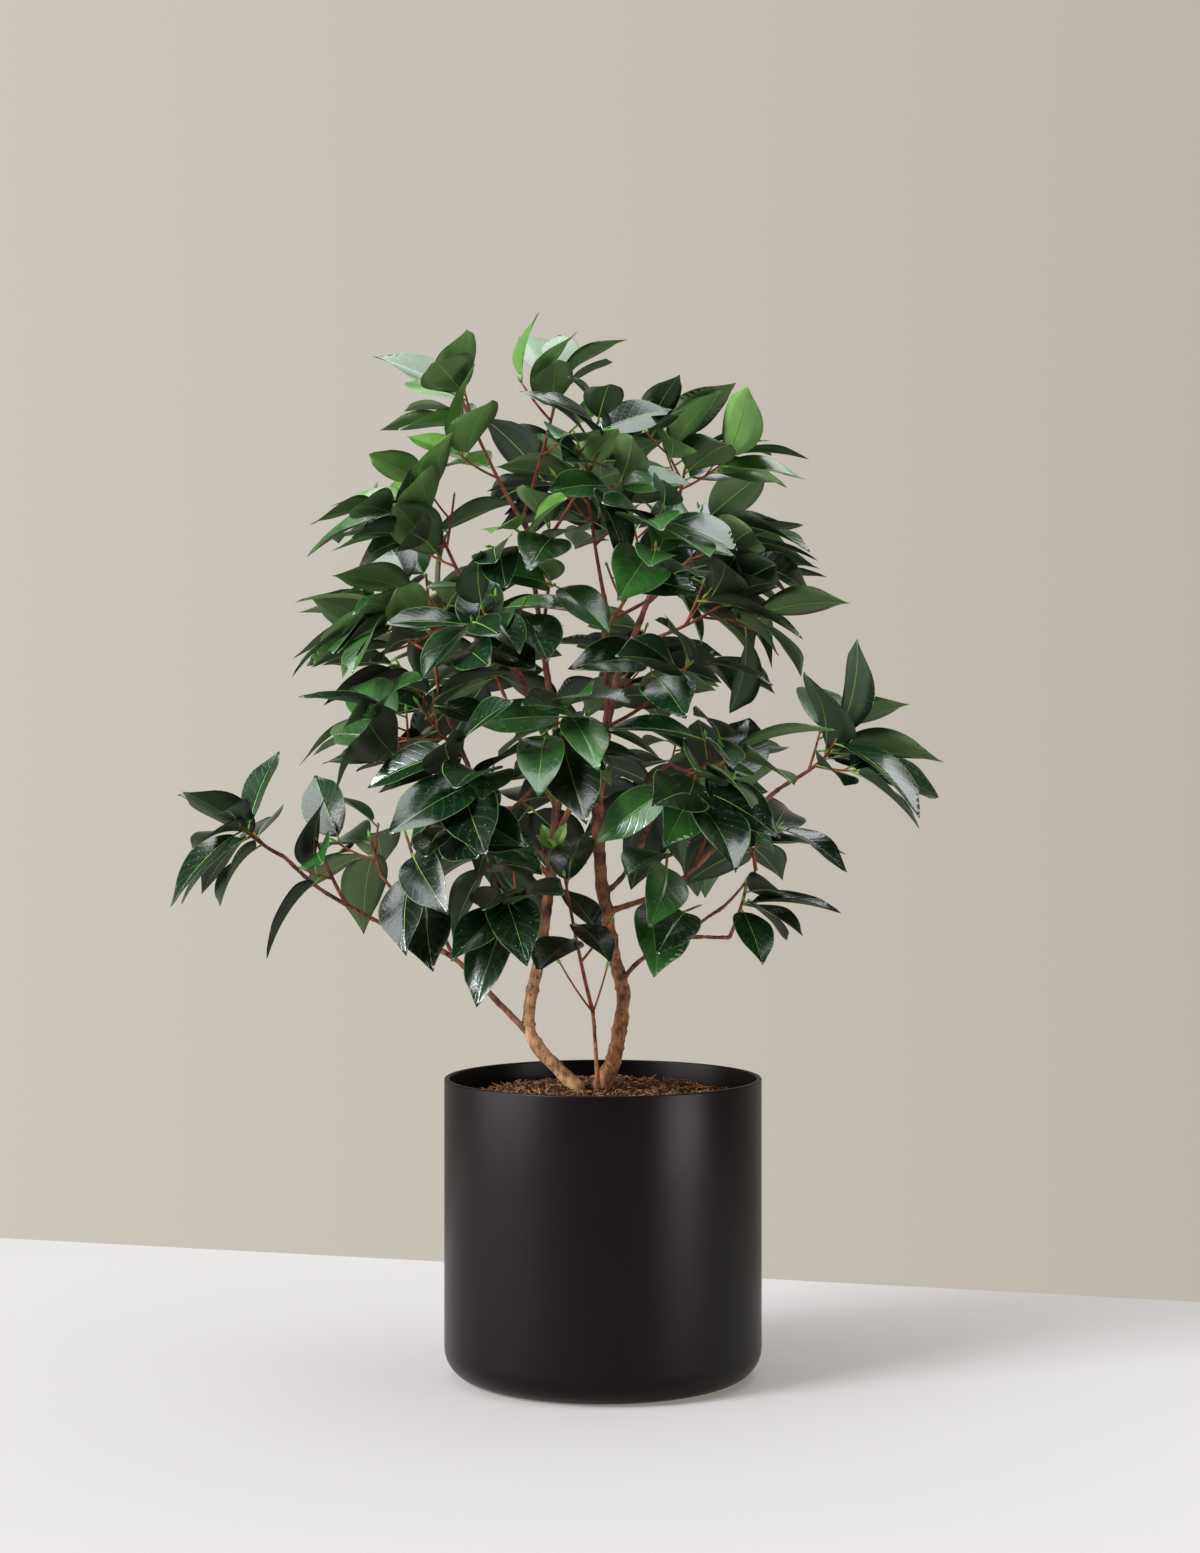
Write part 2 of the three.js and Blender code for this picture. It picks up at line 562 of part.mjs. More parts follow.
// A leaf as eight faces: root, tip, two edges, and the midrib's upper and lower sides.
function leafGeometry(leaf) {
  const root = leaf.root.clone().addScaledVector(leaf.heading, -LEAF_ROOT_SUNK);
  const middle = leafPoint(leaf, BLADE_MIDDLE, 0);
  const half = leaf.face.clone().multiplyScalar((leaf.length * LEAF_THICKNESS) / 2);
  const corners = [
    root, leafPoint(leaf, BLADE_MIDDLE, 1), leafPoint(leaf, 1, 0), leafPoint(leaf, BLADE_MIDDLE, -1),
    middle.clone().add(half), middle.clone().sub(half),
  ];
  const [upper, lower] = [4, 5];
  const index = [];
  for (let k = 0; k < 4; k += 1) {
    const next = (k + 1) % 4;
    index.push(k, next, upper, k, lower, next);
  }
  const geometry = new THREE.BufferGeometry();
  const positions = corners.flatMap((corner) => corner.toArray());
  geometry.setAttribute('position', new THREE.Float32BufferAttribute(positions, 3));
  geometry.setIndex(index);
  return geometry;
}

function massGeometry(mass, clearances) {
  const random = seeded(mass.place);
  const shoots = growLeaves(mass, growShoots(mass, random), random);
  const solids = shoots.map(({ line, radii }) => {
    const radiusAt = (ring) => THREE.MathUtils.lerp(...radii, ring / (line.length - 1));
    return toSolid(taperedTube(line, radiusAt, TWIG_SIDES));
  });
  for (const leaf of shoots.flatMap((shoot) => shoot.leaves)) {
    solids.push(toSolid(leafGeometry(leaf)));
  }
  const fused = solids.reduce((whole, piece) => whole.add(piece));
  return toGeometry(fused.subtract(clearances[mass.limb]));
}

// Pot and soil, turned round the Z axis from half sections.
function turned(section) {
  const geometry = new THREE.LatheGeometry(section, ROUND_SIDES);
  geometry.rotateX(Math.PI / 2);
  return geometry;
}

function arcPoints(centreX, centreY, radius, from, to, steps) {
  return Array.from({ length: steps + 1 }, (_, i) => {
    const angle = THREE.MathUtils.lerp(from, to, i / steps);
    return new THREE.Vector2(centreX + radius * Math.cos(angle), centreY + radius * Math.sin(angle));
  });
}

function potGeometry() {
  const outer = POT_DIAMETER / 2;
  const inner = outer - POT_WALL;
  const lip = POT_WALL / 2;
  const innerEdge = POT_EDGE_RADIUS - POT_WALL;
  return turned([
    new THREE.Vector2(0, 0),
    ...arcPoints(
      outer - POT_EDGE_RADIUS, POT_EDGE_RADIUS, POT_EDGE_RADIUS, -Math.PI / 2, 0, ARC_STEPS,
    ),
    ...arcPoints(outer - lip, POT_HEIGHT - lip, lip, 0, Math.PI, ARC_STEPS),
    ...arcPoints(inner - innerEdge, POT_FLOOR + innerEdge, innerEdge, 0, -Math.PI / 2, INNER_ARC_STEPS),
    new THREE.Vector2(0, POT_FLOOR),
  ]);
}

function soilGeometry() {
  const radius = POT_DIAMETER / 2 - POT_WALL - GAP;
  const floor = POT_FLOOR + GAP;
  const edge = POT_EDGE_RADIUS - POT_WALL;
  const top = POT_HEIGHT - SOIL_TOP_BELOW_RIM;
  const drop = SOIL_EDGE_BELOW_RIM - SOIL_TOP_BELOW_RIM;
  const mound = [1, 0.6, 0.3, 0].map((share) => new THREE.Vector2(
    THREE.MathUtils.lerp(SOIL_FLAT_RADIUS, radius, share),
    top - drop * THREE.MathUtils.smoothstep(share, 0, 1),
  ));
  return turned([
    new THREE.Vector2(0, floor),
    ...arcPoints(radius - edge, floor + edge, edge, -Math.PI / 2, 0, INNER_ARC_STEPS),
    ...mound,
    new THREE.Vector2(0, top),
  ]);
}

const potFinish = new THREE.MeshStandardMaterial({ color: 0x2b2829, roughness: 0.42, metalness: 0 });
const soilFinish = new THREE.MeshStandardMaterial({ color: 0x3a2a20, roughness: 0.95, metalness: 0 });
const barkFinish = new THREE.MeshStandardMaterial({ color: 0x7a5640, roughness: 0.8, metalness: 0 });
const leafFinish = new THREE.MeshStandardMaterial({ color: 0x24482a, roughness: 0.4, metalness: 0 });

const shrub = new THREE.Group();

function addPart(name, geometry, finish) {
  const mesh = new THREE.Mesh(geometry, finish);
  mesh.name = name;
  shrub.add(mesh);
}

addPart('pot', potGeometry(), potFinish);
addPart('potting_mix', soilGeometry(), soilFinish);
const { geometries, clearances } = limbGeometries();
for (const [name, geometry] of Object.entries(geometries)) {
  addPart(name, geometry, barkFinish);
}
for (const mass of masses) {
  addPart(`foliage_${mass.name}`, massGeometry(mass, clearances), leafFinish);
}

export default shrub;
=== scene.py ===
import math
import bmesh
import bpy
import numpy as np
from mathutils import Matrix, Vector, noise
from types import SimpleNamespace


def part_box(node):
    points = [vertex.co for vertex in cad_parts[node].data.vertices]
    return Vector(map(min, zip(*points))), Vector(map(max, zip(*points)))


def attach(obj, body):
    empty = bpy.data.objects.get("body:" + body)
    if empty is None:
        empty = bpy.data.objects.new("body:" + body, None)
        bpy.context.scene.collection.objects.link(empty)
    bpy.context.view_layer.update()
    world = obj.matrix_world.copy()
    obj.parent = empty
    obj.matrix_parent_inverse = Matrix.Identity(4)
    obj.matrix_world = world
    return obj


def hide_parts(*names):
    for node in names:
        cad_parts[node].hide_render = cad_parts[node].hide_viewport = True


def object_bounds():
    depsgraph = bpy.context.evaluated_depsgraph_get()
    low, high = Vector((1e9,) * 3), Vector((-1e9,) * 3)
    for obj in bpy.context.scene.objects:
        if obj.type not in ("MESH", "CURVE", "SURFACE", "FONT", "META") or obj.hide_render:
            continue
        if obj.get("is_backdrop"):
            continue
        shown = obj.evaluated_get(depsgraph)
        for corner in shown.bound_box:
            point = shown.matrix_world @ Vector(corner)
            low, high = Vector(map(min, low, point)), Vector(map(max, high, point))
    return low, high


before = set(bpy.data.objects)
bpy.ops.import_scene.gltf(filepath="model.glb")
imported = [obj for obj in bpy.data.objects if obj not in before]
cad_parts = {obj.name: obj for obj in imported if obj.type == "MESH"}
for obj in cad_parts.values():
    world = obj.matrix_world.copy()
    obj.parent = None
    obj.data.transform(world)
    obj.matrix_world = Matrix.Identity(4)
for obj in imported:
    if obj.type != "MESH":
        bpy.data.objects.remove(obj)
cad_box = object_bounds()

# View: a plain pale floor that ends at a straight slanting edge, a beige room behind it, and soft
# studio light. The backdrop that the lens sees is painted lighter on the left and darker on the
# right, as painted shade. The floor is milky acrylic with a weak lamp under it, which keeps its
# shadows light. The lens stands level, 2.3 m in front of the pot's axis.
MM = 0.001
FLOOR_COLOUR = "#939192"
FLOOR_GLOW = 0.2
FLOOR_GLOW_COLOUR = "#FFF4E8"
ROOM_COLOUR = "#C4BCB0"
ROOM_FRONT_COLOUR = "#3A3836"
# The backdrop's left and right colours: painted shade, darker towards the right as if lit from the left.
ROOM_LEFT_COLOUR = "#CEC7BC"
ROOM_RIGHT_COLOUR = "#BDB5A9"
ROOM_GLOW = 0.75
CEILING_GLOW = 0.11
FLOOR_EDGE = [(-0.615, 0.631), (0.540, 0.296)]
FLOOR_REACH = 9
EYE = (-0.0024, -2.31, 0.508)
LENS_MM = 66.83
SENSOR_MM = 36
LENS_SHIFT = -0.0235
AIM = Vector((0, 0, 0.45))


def linear(colour):
    """An sRGB hex colour as linear red, green, blue and a full alpha."""
    parts = [int(colour[i:i + 2], 16) / 255 for i in (1, 3, 5)]
    return [*(p / 12.92 if p <= 0.04045 else ((p + 0.055) / 1.055) ** 2.4 for p in parts), 1]


def add_node(tree, kind, settings=None, links=None):
    """Adds one shader node; settings are its properties or input values, links feed its inputs."""
    node = tree.nodes.new("ShaderNode" + kind)
    for key, value in (settings or {}).items():
        if isinstance(key, str) and hasattr(node, key):
            setattr(node, key, value)
        else:
            node.inputs[key].default_value = value
    for key, source in (links or {}).items():
        tree.links.new(source, node.inputs[key])
    return node


def start_material(name, settings):
    """A material with its shader set, and the tree and shader to build on."""
    material = bpy.data.materials.new(name)
    material.use_nodes = True
    tree = material.node_tree
    shader = tree.nodes["Principled BSDF"]
    for key, value in settings.items():
        shader.inputs[key].default_value = value
    return material, tree, shader


def feed(shader, links):
    """Links other nodes' outputs to a shader's inputs."""
    for key, source in links.items():
        shader.id_data.links.new(source, shader.inputs[key])


def blend(tree, value, first, last, start=0, end=1):
    """A colour that goes from the first to the last while a value goes from start to end."""
    share = add_node(tree, "MapRange", {"From Min": start, "From Max": end}, {"Value": value})
    colour = add_node(tree, "Mix", {"data_type": "RGBA", 6: linear(first), 7: linear(last)},
                      {0: share.outputs["Result"]})
    return colour.outputs[2]


def add_object(name, data):
    piece = bpy.data.objects.new(name, data)
    bpy.context.scene.collection.objects.link(piece)
    return piece


def aim_at(thing, place, target):
    thing.location = place
    thing.rotation_euler = (Vector(target) - Vector(place)).to_track_quat("-Z", "Y").to_euler()


camera_data = bpy.data.cameras.new("camera")
camera_data.lens = LENS_MM
camera_data.sensor_width = SENSOR_MM
camera_data.shift_y = LENS_SHIFT
camera = add_object("camera", camera_data)
camera.location = EYE
camera.rotation_euler = (math.pi / 2, 0, 0)
bpy.context.scene.camera = camera
bpy.context.scene.view_settings.view_transform = "Standard"

edge_start, edge_end = (Vector(point) for point in FLOOR_EDGE)
edge_run = (edge_end - edge_start).normalized()
edge_front = Vector((edge_run.y, -edge_run.x))
back = [edge_end + edge_run * FLOOR_REACH, edge_start - edge_run * FLOOR_REACH]
front = [corner + edge_front * FLOOR_REACH for corner in reversed(back)]
floor_mesh = bpy.data.meshes.new("floor")
floor_mesh.from_pydata([(*corner, 0) for corner in (*back, *front)], [], [(0, 1, 2, 3)])
floor = add_object("floor", floor_mesh)
milky_acrylic, _, _ = start_material("matt_milky_acrylic", {
    "Base Color": linear(FLOOR_COLOUR), "Roughness": 0.8, "Specular IOR Level": 0.2,
    "Emission Color": linear(FLOOR_GLOW_COLOUR), "Emission Strength": FLOOR_GLOW})
floor_mesh.materials.append(milky_acrylic)
floor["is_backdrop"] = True

world = bpy.data.worlds.new("room")
world.use_nodes = True
bpy.context.scene.world = world
room = world.node_tree
backdrop = room.nodes["Background"]
direction = add_node(room, "TexCoord")
split = add_node(room, "SeparateXYZ", links={"Vector": direction.outputs["Generated"]})
# Painted shade: the backdrop that the lens sees runs from a lighter colour on the left to a darker one on the
# right, as if a wall behind were lit from the left.
wall = blend(room, split.outputs["X"], ROOM_LEFT_COLOUR, ROOM_RIGHT_COLOUR, -0.22, 0.22)
feed(backdrop, {"Color": wall})
tone = blend(room, split.outputs["Y"], ROOM_FRONT_COLOUR, ROOM_COLOUR, -0.5, 0.6)
fade = add_node(room, "MapRange", {
    "From Min": 0.1, "From Max": 0.5, "To Min": ROOM_GLOW, "To Max": CEILING_GLOW}, {
    "Value": split.outputs["Z"]})
glow = add_node(room, "Background", links={"Color": tone, "Strength": fade.outputs["Result"]})
seen = add_node(room, "LightPath")
either = add_node(room, "MixShader", links={
    0: seen.outputs["Is Camera Ray"], 1: glow.outputs[0], 2: backdrop.outputs[0]})
feed(room.nodes["World Output"], {"Surface": either.outputs[0]})

SUN_PLACE = (-1.8, -1.2, 1.9)
SUN_POWER = 5
SUN_ANGLE = 0.4
SUN_COLOUR = "#F7FAFF"
sun_data = bpy.data.lights.new("key", "SUN")
sun_data.energy = SUN_POWER
sun_data.angle = SUN_ANGLE
sun_data.color = linear(SUN_COLOUR)[:3]
aim_at(add_object("key", sun_data), SUN_PLACE, AIM)
LAMPS = [
    ("left_panel", (-2.7, -0.9, 0.85), 2.4, 1.4, 70, "#FFFFFF"),
    ("right_strip", (1.24, -0.81, 0.2), 0.65, 0.55, 10.5, "#FFFFFF"),
    ("top_panel", (0, 0.1, 2.3), 3.2, 2.6, 100, "#F6F8FA"),
]
for name, place, width, height, power, colour in LAMPS:
    lamp_data = bpy.data.lights.new(name, "AREA")
    lamp_data.shape = "RECTANGLE"
    lamp_data.size = width
    lamp_data.size_y = height
    lamp_data.energy = power
    lamp_data.color = linear(colour)[:3]
    aim_at(add_object(name, lamp_data), place, AIM)


# Pot: a straight-sided round planter with a thin wall, a rounded lip and a rounded foot. It is
# moulded plastic, and its section is turned once round the pot's axis.
POT_SIDES = 128
POT_WALL = 0.004
POT_FLOOR = 0.005
POT_EDGE_RADIUS = 0.024
EDGE_SUPPORT = 0.001  # how far inside the rounded foot a last flat ring lies
HOLLOW_DEPTH = 0.002
HOLLOW_RADIUS = 0.096
FOOT_RADIUS = 0.099
EDGE_STEPS = 14
INNER_EDGE_STEPS = 6
LIP_STEPS = 4
OUTER_RINGS = (0.35, 0.7)
INNER_RING = 0.6
pot_low, pot_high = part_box("pot")
POT_RADIUS = (pot_high.x - pot_low.x) / 2
POT_HEIGHT = pot_high.z


def grain_size(mm):
    """The scale that gives a texture features of about this many millimetres."""
    return 1 / (mm * MM)


def mottle(tree, mm, detail, dark, light, spread=(0, 1), roughness=0.5):
    """A colour that goes from dark to light in clouds of about this many millimetres, and the clouds."""
    place = add_node(tree, "TexCoord")
    clouds = add_node(tree, "TexNoise", {
        "Scale": grain_size(mm), "Detail": detail, "Roughness": roughness}, {
        "Vector": place.outputs["Object"]})
    return blend(tree, clouds.outputs["Fac"], dark, light, *spread), clouds.outputs["Fac"]


def arc(centre_x, centre_z, radius, start, end, steps):
    """Points on an arc in the XZ plane, angles in degrees."""
    angles = [math.radians(start + (end - start) * k / steps) for k in range(steps + 1)]
    return [(centre_x + radius * math.cos(a), centre_z + radius * math.sin(a)) for a in angles]


def turn_section(section, sides):
    """A bmesh made by turning a section, from axis to axis, once round Z."""
    shape = bmesh.new()
    corners = [shape.verts.new((x, 0, z)) for x, z in section]
    edges = [shape.edges.new(pair) for pair in zip(corners, corners[1:])]
    bmesh.ops.spin(shape, geom=corners + edges, axis=(0, 0, 1), cent=(0, 0, 0),
                   angle=2 * math.pi, steps=sides, use_merge=True)
    bmesh.ops.remove_doubles(shape, verts=shape.verts, dist=1e-6)
    bmesh.ops.recalc_face_normals(shape, faces=shape.faces)
    return shape


def finish_piece(name, shape, materials, nodes, smooth=True):
    """Turns a bmesh or a mesh into a named piece that rides on the pot's body."""
    if isinstance(shape, bmesh.types.BMesh):
        mesh = bpy.data.meshes.new(name)
        shape.to_mesh(mesh)
        shape.free()
    else:
        mesh = shape
    for material in materials:
        mesh.materials.append(material)
    mesh.polygons.foreach_set("use_smooth", [smooth] * len(mesh.polygons))
    piece = add_object(name, mesh)
    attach(piece, "root")
    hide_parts(*nodes)


# Black polypropylene, injection moulded with a satin skin: a soft wide sheen, no clear mirror
# image, and a very fine moulded grain.
pot_plastic, tree, shader = start_material("moulded_satin_polypropylene", {
    "IOR": 1.49, "Specular IOR Level": 0.17, "Specular Tint": linear("#FFF0F2")})
shade, clouds = mottle(tree, 60, 4, "#080506", "#0D090A")
sheen = add_node(tree, "MapRange", {"To Min": 0.32, "To Max": 0.38}, {"Value": clouds})
place = add_node(tree, "TexCoord")
moulded = add_node(tree, "TexNoise", {"Scale": grain_size(0.9), "Detail": 3},
                   {"Vector": place.outputs["Object"]})
dents = add_node(tree, "Bump", {"Strength": 0.12, "Distance": 0.00012}, {"Height": moulded.outputs["Fac"]})
feed(shader, {"Base Color": shade, "Roughness": sheen.outputs["Result"], "Normal": dents.outputs["Normal"]})

lip = POT_WALL / 4
inner_edge = POT_EDGE_RADIUS - POT_WALL
edge_centre = POT_RADIUS - POT_EDGE_RADIUS
pot_section = [
    (0, HOLLOW_DEPTH), (HOLLOW_RADIUS, HOLLOW_DEPTH), (FOOT_RADIUS, 0), (edge_centre - EDGE_SUPPORT, 0),
    *arc(edge_centre, POT_EDGE_RADIUS, POT_EDGE_RADIUS, -90, 0, EDGE_STEPS),
    *((POT_RADIUS, POT_HEIGHT * share) for share in OUTER_RINGS),
    *arc(POT_RADIUS - lip, POT_HEIGHT - lip, lip, 0, 90, LIP_STEPS),
    *arc(POT_RADIUS - POT_WALL + lip, POT_HEIGHT - lip, lip, 90, 180, LIP_STEPS),
    (POT_RADIUS - POT_WALL, POT_HEIGHT * INNER_RING),
    *arc(edge_centre, POT_FLOOR + inner_edge, inner_edge, 0, -90, INNER_EDGE_STEPS),
    (0, POT_FLOOR),
]
finish_piece("moulded_pot", turn_section(pot_section, POT_SIDES), [pot_plastic], ["pot"])


# Potting mix: moist coir and bark, filled to just under the rim and sunk a little along the wall.
# Its crumbs are relief on its top; loose chips and fibres of coir lie on it and are pressed in.
MIX_SIDES = 180
MIX_RINGS = 60
CHIPS = 1500
FIBRES = 700
mix_low, mix_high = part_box("potting_mix")
MIX_RADIUS = (mix_high.x - mix_low.x) / 2
MIX_FLAT_RADIUS = 0.07
MIX_DROP = 0.01
MIX_RIM = 0.001
# Width of the lumps, clods and crumbs in millimetres, a shift that sets them apart, and their height.
CRUMB_LAYERS = [(22, (0, 0, 0), 2.2), (7.5, (5, 9, 0), 1.6), (2.6, (31, 3, 0), 0.8)]
CRUMB_SINK = 1.4


def mound_height(radius):
    """The mix is level round the stems and falls a little from there to the wall of the pot."""
    share = min(max((radius - MIX_FLAT_RADIUS) / (MIX_RADIUS - MIX_FLAT_RADIUS), 0), 1)
    return mix_high.z - MIX_DROP * share * share * (3 - 2 * share)


def crumbs(x, y):
    """Height of the crumbly relief, from broad lumps down to single crumbs."""
    spot = Vector((x, y, 0)) / MM
    relief = sum(noise.noise(spot / width + Vector(shift)) * height for width, shift, height in CRUMB_LAYERS)
    return (relief - CRUMB_SINK) * MM


def seeded(seed):
    """Park and Miller's random numbers, the same each time, from a seed."""
    modulus = 2 ** 31 - 1
    state = (48271 * (seed + 1)) % modulus

    def draw():
        nonlocal state
        state = (state * 16807) % modulus
        return state / modulus

    draw()
    draw()
    return draw


def mesh_from(name, shapes, unit, slots=None):
    """One mesh of many shapes, each given as its corners, in this unit, and its faces."""
    corners, faces = [], []
    start = 0
    for shape_corners, shape_faces in shapes:
        corners.append(shape_corners)
        faces += [tuple(start + k for k in face) for face in shape_faces]
        start += len(shape_corners)
    mesh = bpy.data.meshes.new(name)
    mesh.from_pydata((np.concatenate(corners) * unit).tolist(), [], faces)
    if slots is not None:
        mesh.polygons.foreach_set("material_index", slots)
    mesh.validate()
    return mesh


def tube_faces(rings, sides):
    """Faces of a tube that is closed at both ends, over corners listed ring by ring."""
    faces = [tuple(range(sides))[::-1], tuple((rings - 1) * sides + k for k in range(sides))]
    for ring in range(rings - 1):
        for k in range(sides):
            a, b = ring * sides + k, ring * sides + (k + 1) % sides
            faces.append((a, b, b + sides, a + sides))
    return faces


# Moist coir and composted bark: dark brown and matt, with lighter dry flecks.
coir, tree, shader = start_material("moist_coir_and_composted_bark", {
    "Roughness": 0.95, "Specular IOR Level": 0.25})
shade, flecks = mottle(tree, 2.2, 5, "#0A0604", "#563724", (0.36, 0.72), 0.7)
grit = add_node(tree, "Bump", {"Strength": 0.8, "Distance": 0.0008}, {"Height": flecks})
feed(shader, {"Base Color": shade, "Normal": grit.outputs["Normal"]})

rings = [MIX_RADIUS * (1 - k / MIX_RINGS) for k in range(MIX_RINGS)]
mix_section = [
    (0, mix_low.z),
    *arc(MIX_RADIUS - inner_edge, mix_low.z + inner_edge, inner_edge, -90, 0, LIP_STEPS),
    *((radius, mound_height(radius)) for radius in rings),
    (0, mix_high.z),
]
mound = turn_section(mix_section, MIX_SIDES)
for corner in mound.verts:
    if corner.co.z > mix_high.z - MIX_DROP - MIX_RIM and corner.co.xy.length < MIX_RADIUS - MIX_RIM:
        corner.co.z += crumbs(corner.co.x, corner.co.y)
finish_piece("mounded_mix", mound, [coir], ["potting_mix"])

# A chip is a small box with one end narrowed; a fibre is a thin three-sided sliver with a bend.
CHIP_TAPER = 0.55
FIBRE_BEND = 3
LITTER_WALL_GAP = 0.005
LITTER_TILT = 1.1
LITTER_ROLL = 0.8
LITTER_RISE = 0.3
CHIP = np.array([(x, y, z) for x in (-0.5, 0.5) for y in (-0.5, 0.5) for z in (-0.5, 0.5)])
CHIP[4:, 1:] *= CHIP_TAPER
CHIP_FACES = [(0, 1, 3, 2), (4, 6, 7, 5), (0, 4, 5, 1), (2, 3, 7, 6), (0, 2, 6, 4), (1, 5, 7, 3)]
FIBRE = np.array([(x, math.cos(a) / 2, math.sin(a) / 2 + bend)
                  for x, bend in ((-0.5, 0), (0, FIBRE_BEND), (0.5, 0))
                  for a in (0, 2 * math.pi / 3, 4 * math.pi / 3)])


def scatter(name, count, seed, shape, shape_faces, size_range, material):
    """Strews turned, tilted and scaled copies of a small shape over the mound."""
    random = seeded(seed)
    shapes = []
    for _ in range(count):
        radius = (MIX_RADIUS - LITTER_WALL_GAP) * math.sqrt(random())
        angle = 2 * math.pi * random()
        x, y = radius * math.cos(angle), radius * math.sin(angle)
        turn = Matrix.Rotation(2 * math.pi * random(), 3, "Z")
        tilt = Matrix.Rotation((random() - 0.5) * LITTER_TILT, 3, "Y")
        roll = Matrix.Rotation(random() * LITTER_ROLL, 3, "X")
        size = [MM * (low + (high - low) * random() ** 2) for low, high in size_range]
        lift = mound_height(radius) + crumbs(x, y) + size[2] * LITTER_RISE
        placed = (shape * size) @ np.array(turn @ (tilt @ roll)).T + (x, y, lift)
        shapes.append((placed, shape_faces))
    finish_piece(name, mesh_from(name, shapes, 1), [material], ["potting_mix"], smooth=False)


def mottled_material(name, roughness, specular, *mottling):
    """A dull material with a mottled colour and nothing more."""
    material, tree, shader = start_material(name, {"Roughness": roughness, "Specular IOR Level": specular})
    feed(shader, {"Base Color": mottle(tree, *mottling)[0]})
    return material


# Chips of bark, dry on top and so lighter than the mix, and tan fibres of coir husk.
chip_bark = mottled_material("dry_bark_chips", 0.9, 0.3, 7, 2, "#170E09", "#83573A", (0.35, 0.68))
husk = mottled_material("coir_husk_fibre", 0.85, 0.3, 9, 1, "#96623F", "#D6A06E")
scatter("bark_chips", CHIPS, 11, CHIP, CHIP_FACES, [(2, 9), (1.5, 4), (0.8, 2)], chip_bark)
scatter("husk_fibres", FIBRES, 12, FIBRE, tube_faces(3, 3), [(6, 18), (0.5, 0.9), (0.4, 0.6)], husk)


# Stems and boughs: three stems rise from the mix, and every other limb leaves its parent at a
# share of the parent's length. Each is living wood with thin bark, ringed by old leaf scars.
STEM_GAP = 0.3
STEM_FOOT = mix_high.z / MM + STEM_GAP
STEM_SUNK = 7
STEM_FIELDS = ("name", "flare", "radii", "route")
STEMS = [
    ("left_stem", 1.4, (5.4, 3.9),
     [(-21, -7, STEM_FOOT), (-53, -9, 265), (-59, -8, 290), (-49, -5, 344),
      (-40, -2, 417), (-34, 0, 492)]),
    ("right_stem", 2.2, (6.2, 4.4),
     [(-1, 3, STEM_FOOT), (10, 4, 258), (16, 4, 303), (8, 4, 339), (-2, 5, 405),
      (-4, 6, 468), (2, 8, 512)]),
    ("middle_stem", 0.4, (1.9, 1.5), [(-4, -11, STEM_FOOT), (-6, -12, 265), (-8, -13, 291)]),
]
BOUGH_FIELDS = ("name", "from", "at", "radii", "route")
BOUGHS = [
    ("low_left_bough", "left_stem", 0.19, (2.6, 2), [(-85, -16, 301), (-114, -28, 332), (-133, -35, 345)]),
    ("left_reach", "low_left_bough", 1, (2, 1.5), [(-169, -42, 361), (-220, -50, 390), (-250, -54, 417)]),
    ("left_low_fork", "low_left_bough", 0.93, (1.6, 1.3),
     [(-140, -25, 355), (-158, -20, 377), (-176, -18, 400)]),
    ("left_mid_bough", "left_stem", 0.66, (2.2, 1.6),
     [(-70, -25, 430), (-107, -45, 458), (-123, -52, 471)]),
    ("left_up_bough", "left_stem", 0.7, (2.2, 1.6),
     [(-73, 20, 440), (-103, 40, 474), (-119, 52, 509), (-134, 58, 540)]),
    ("left_leader", "left_stem", 1, (3, 2),
     [(-54, -8, 526), (-68, -15, 564), (-82, -22, 584), (-99, -30, 612)]),
    ("middle_leader", "left_stem", 1, (3.3, 2),
     [(-42, -2, 542), (-50, -4, 598), (-59, -3, 663), (-63, 0, 690)]),
    ("crossing_bough", "left_stem", 0.77, (2.6, 1.9),
     [(-8, -12, 491), (3, -14, 520), (3, -12, 556), (0, -8, 600)]),
    ("right_leader", "right_stem", 1, (3.4, 2.4), [(12, 12, 561), (26, 14, 594), (40, 10, 631)]),
    ("right_top_bough", "right_leader", 1, (2.3, 1.8), [(50, 12, 660), (58, 14, 690)]),
    ("right_low_bough", "right_stem", 0.3, (2, 1.4), [(30, -6, 332), (61, -20, 350), (100, -32, 352)]),
    ("right_low_fork", "right_low_bough", 0.62, (1.5, 1.2),
     [(82, -16, 366), (99, -14, 378), (122, -10, 404)]),
    ("right_long_bough", "right_stem", 0.5, (2.5, 1.7),
     [(53, -15, 390), (97, -30, 431), (132, -38, 464), (150, -41, 477)]),
    ("right_inner_bough", "right_stem", 0.68, (1.9, 1.4), [(14, -20, 452), (34, -55, 474), (52, -70, 490)]),
    ("back_low_bough", "right_stem", 0.55, (2.2, 1.6), [(18, 30, 400), (34, 66, 428), (44, 92, 452)]),
    ("back_left_bough", "left_stem", 0.86, (2.2, 1.6), [(-52, 36, 478), (-70, 70, 512), (-82, 96, 545)]),
    ("back_up_bough", "right_stem", 1, (2.6, 1.8), [(4, 34, 552), (6, 66, 598), (0, 84, 632)]),
]
LINE_STEPS = 2
FINE_STEPS = 30
STEM_SIDES = 20
BOUGH_SIDES = 8
FLARE_HEIGHT = 9
COLLAR = 0.45
COLLAR_LENGTH = 5
SCAR_SPACING = 21
FIRST_SCAR = 0.6
NEXT_SCAR = 0.5
SCAR_SWELL = 0.2
SCAR_LENGTH = 1.6
SPOT_SPACING_MM = 5
SPOT_COLOUR = "#231610"
# Relief of the bark: width and length in millimetres, and height as a share of the limb's radius.
RIDGES = (2.2, 14, 0.12)
KNOBS = (8, 8, 0.2)
KNOB_SHIFT = Vector((56, 8, 32))
CRACKS = (1.1, 7, 0.1)


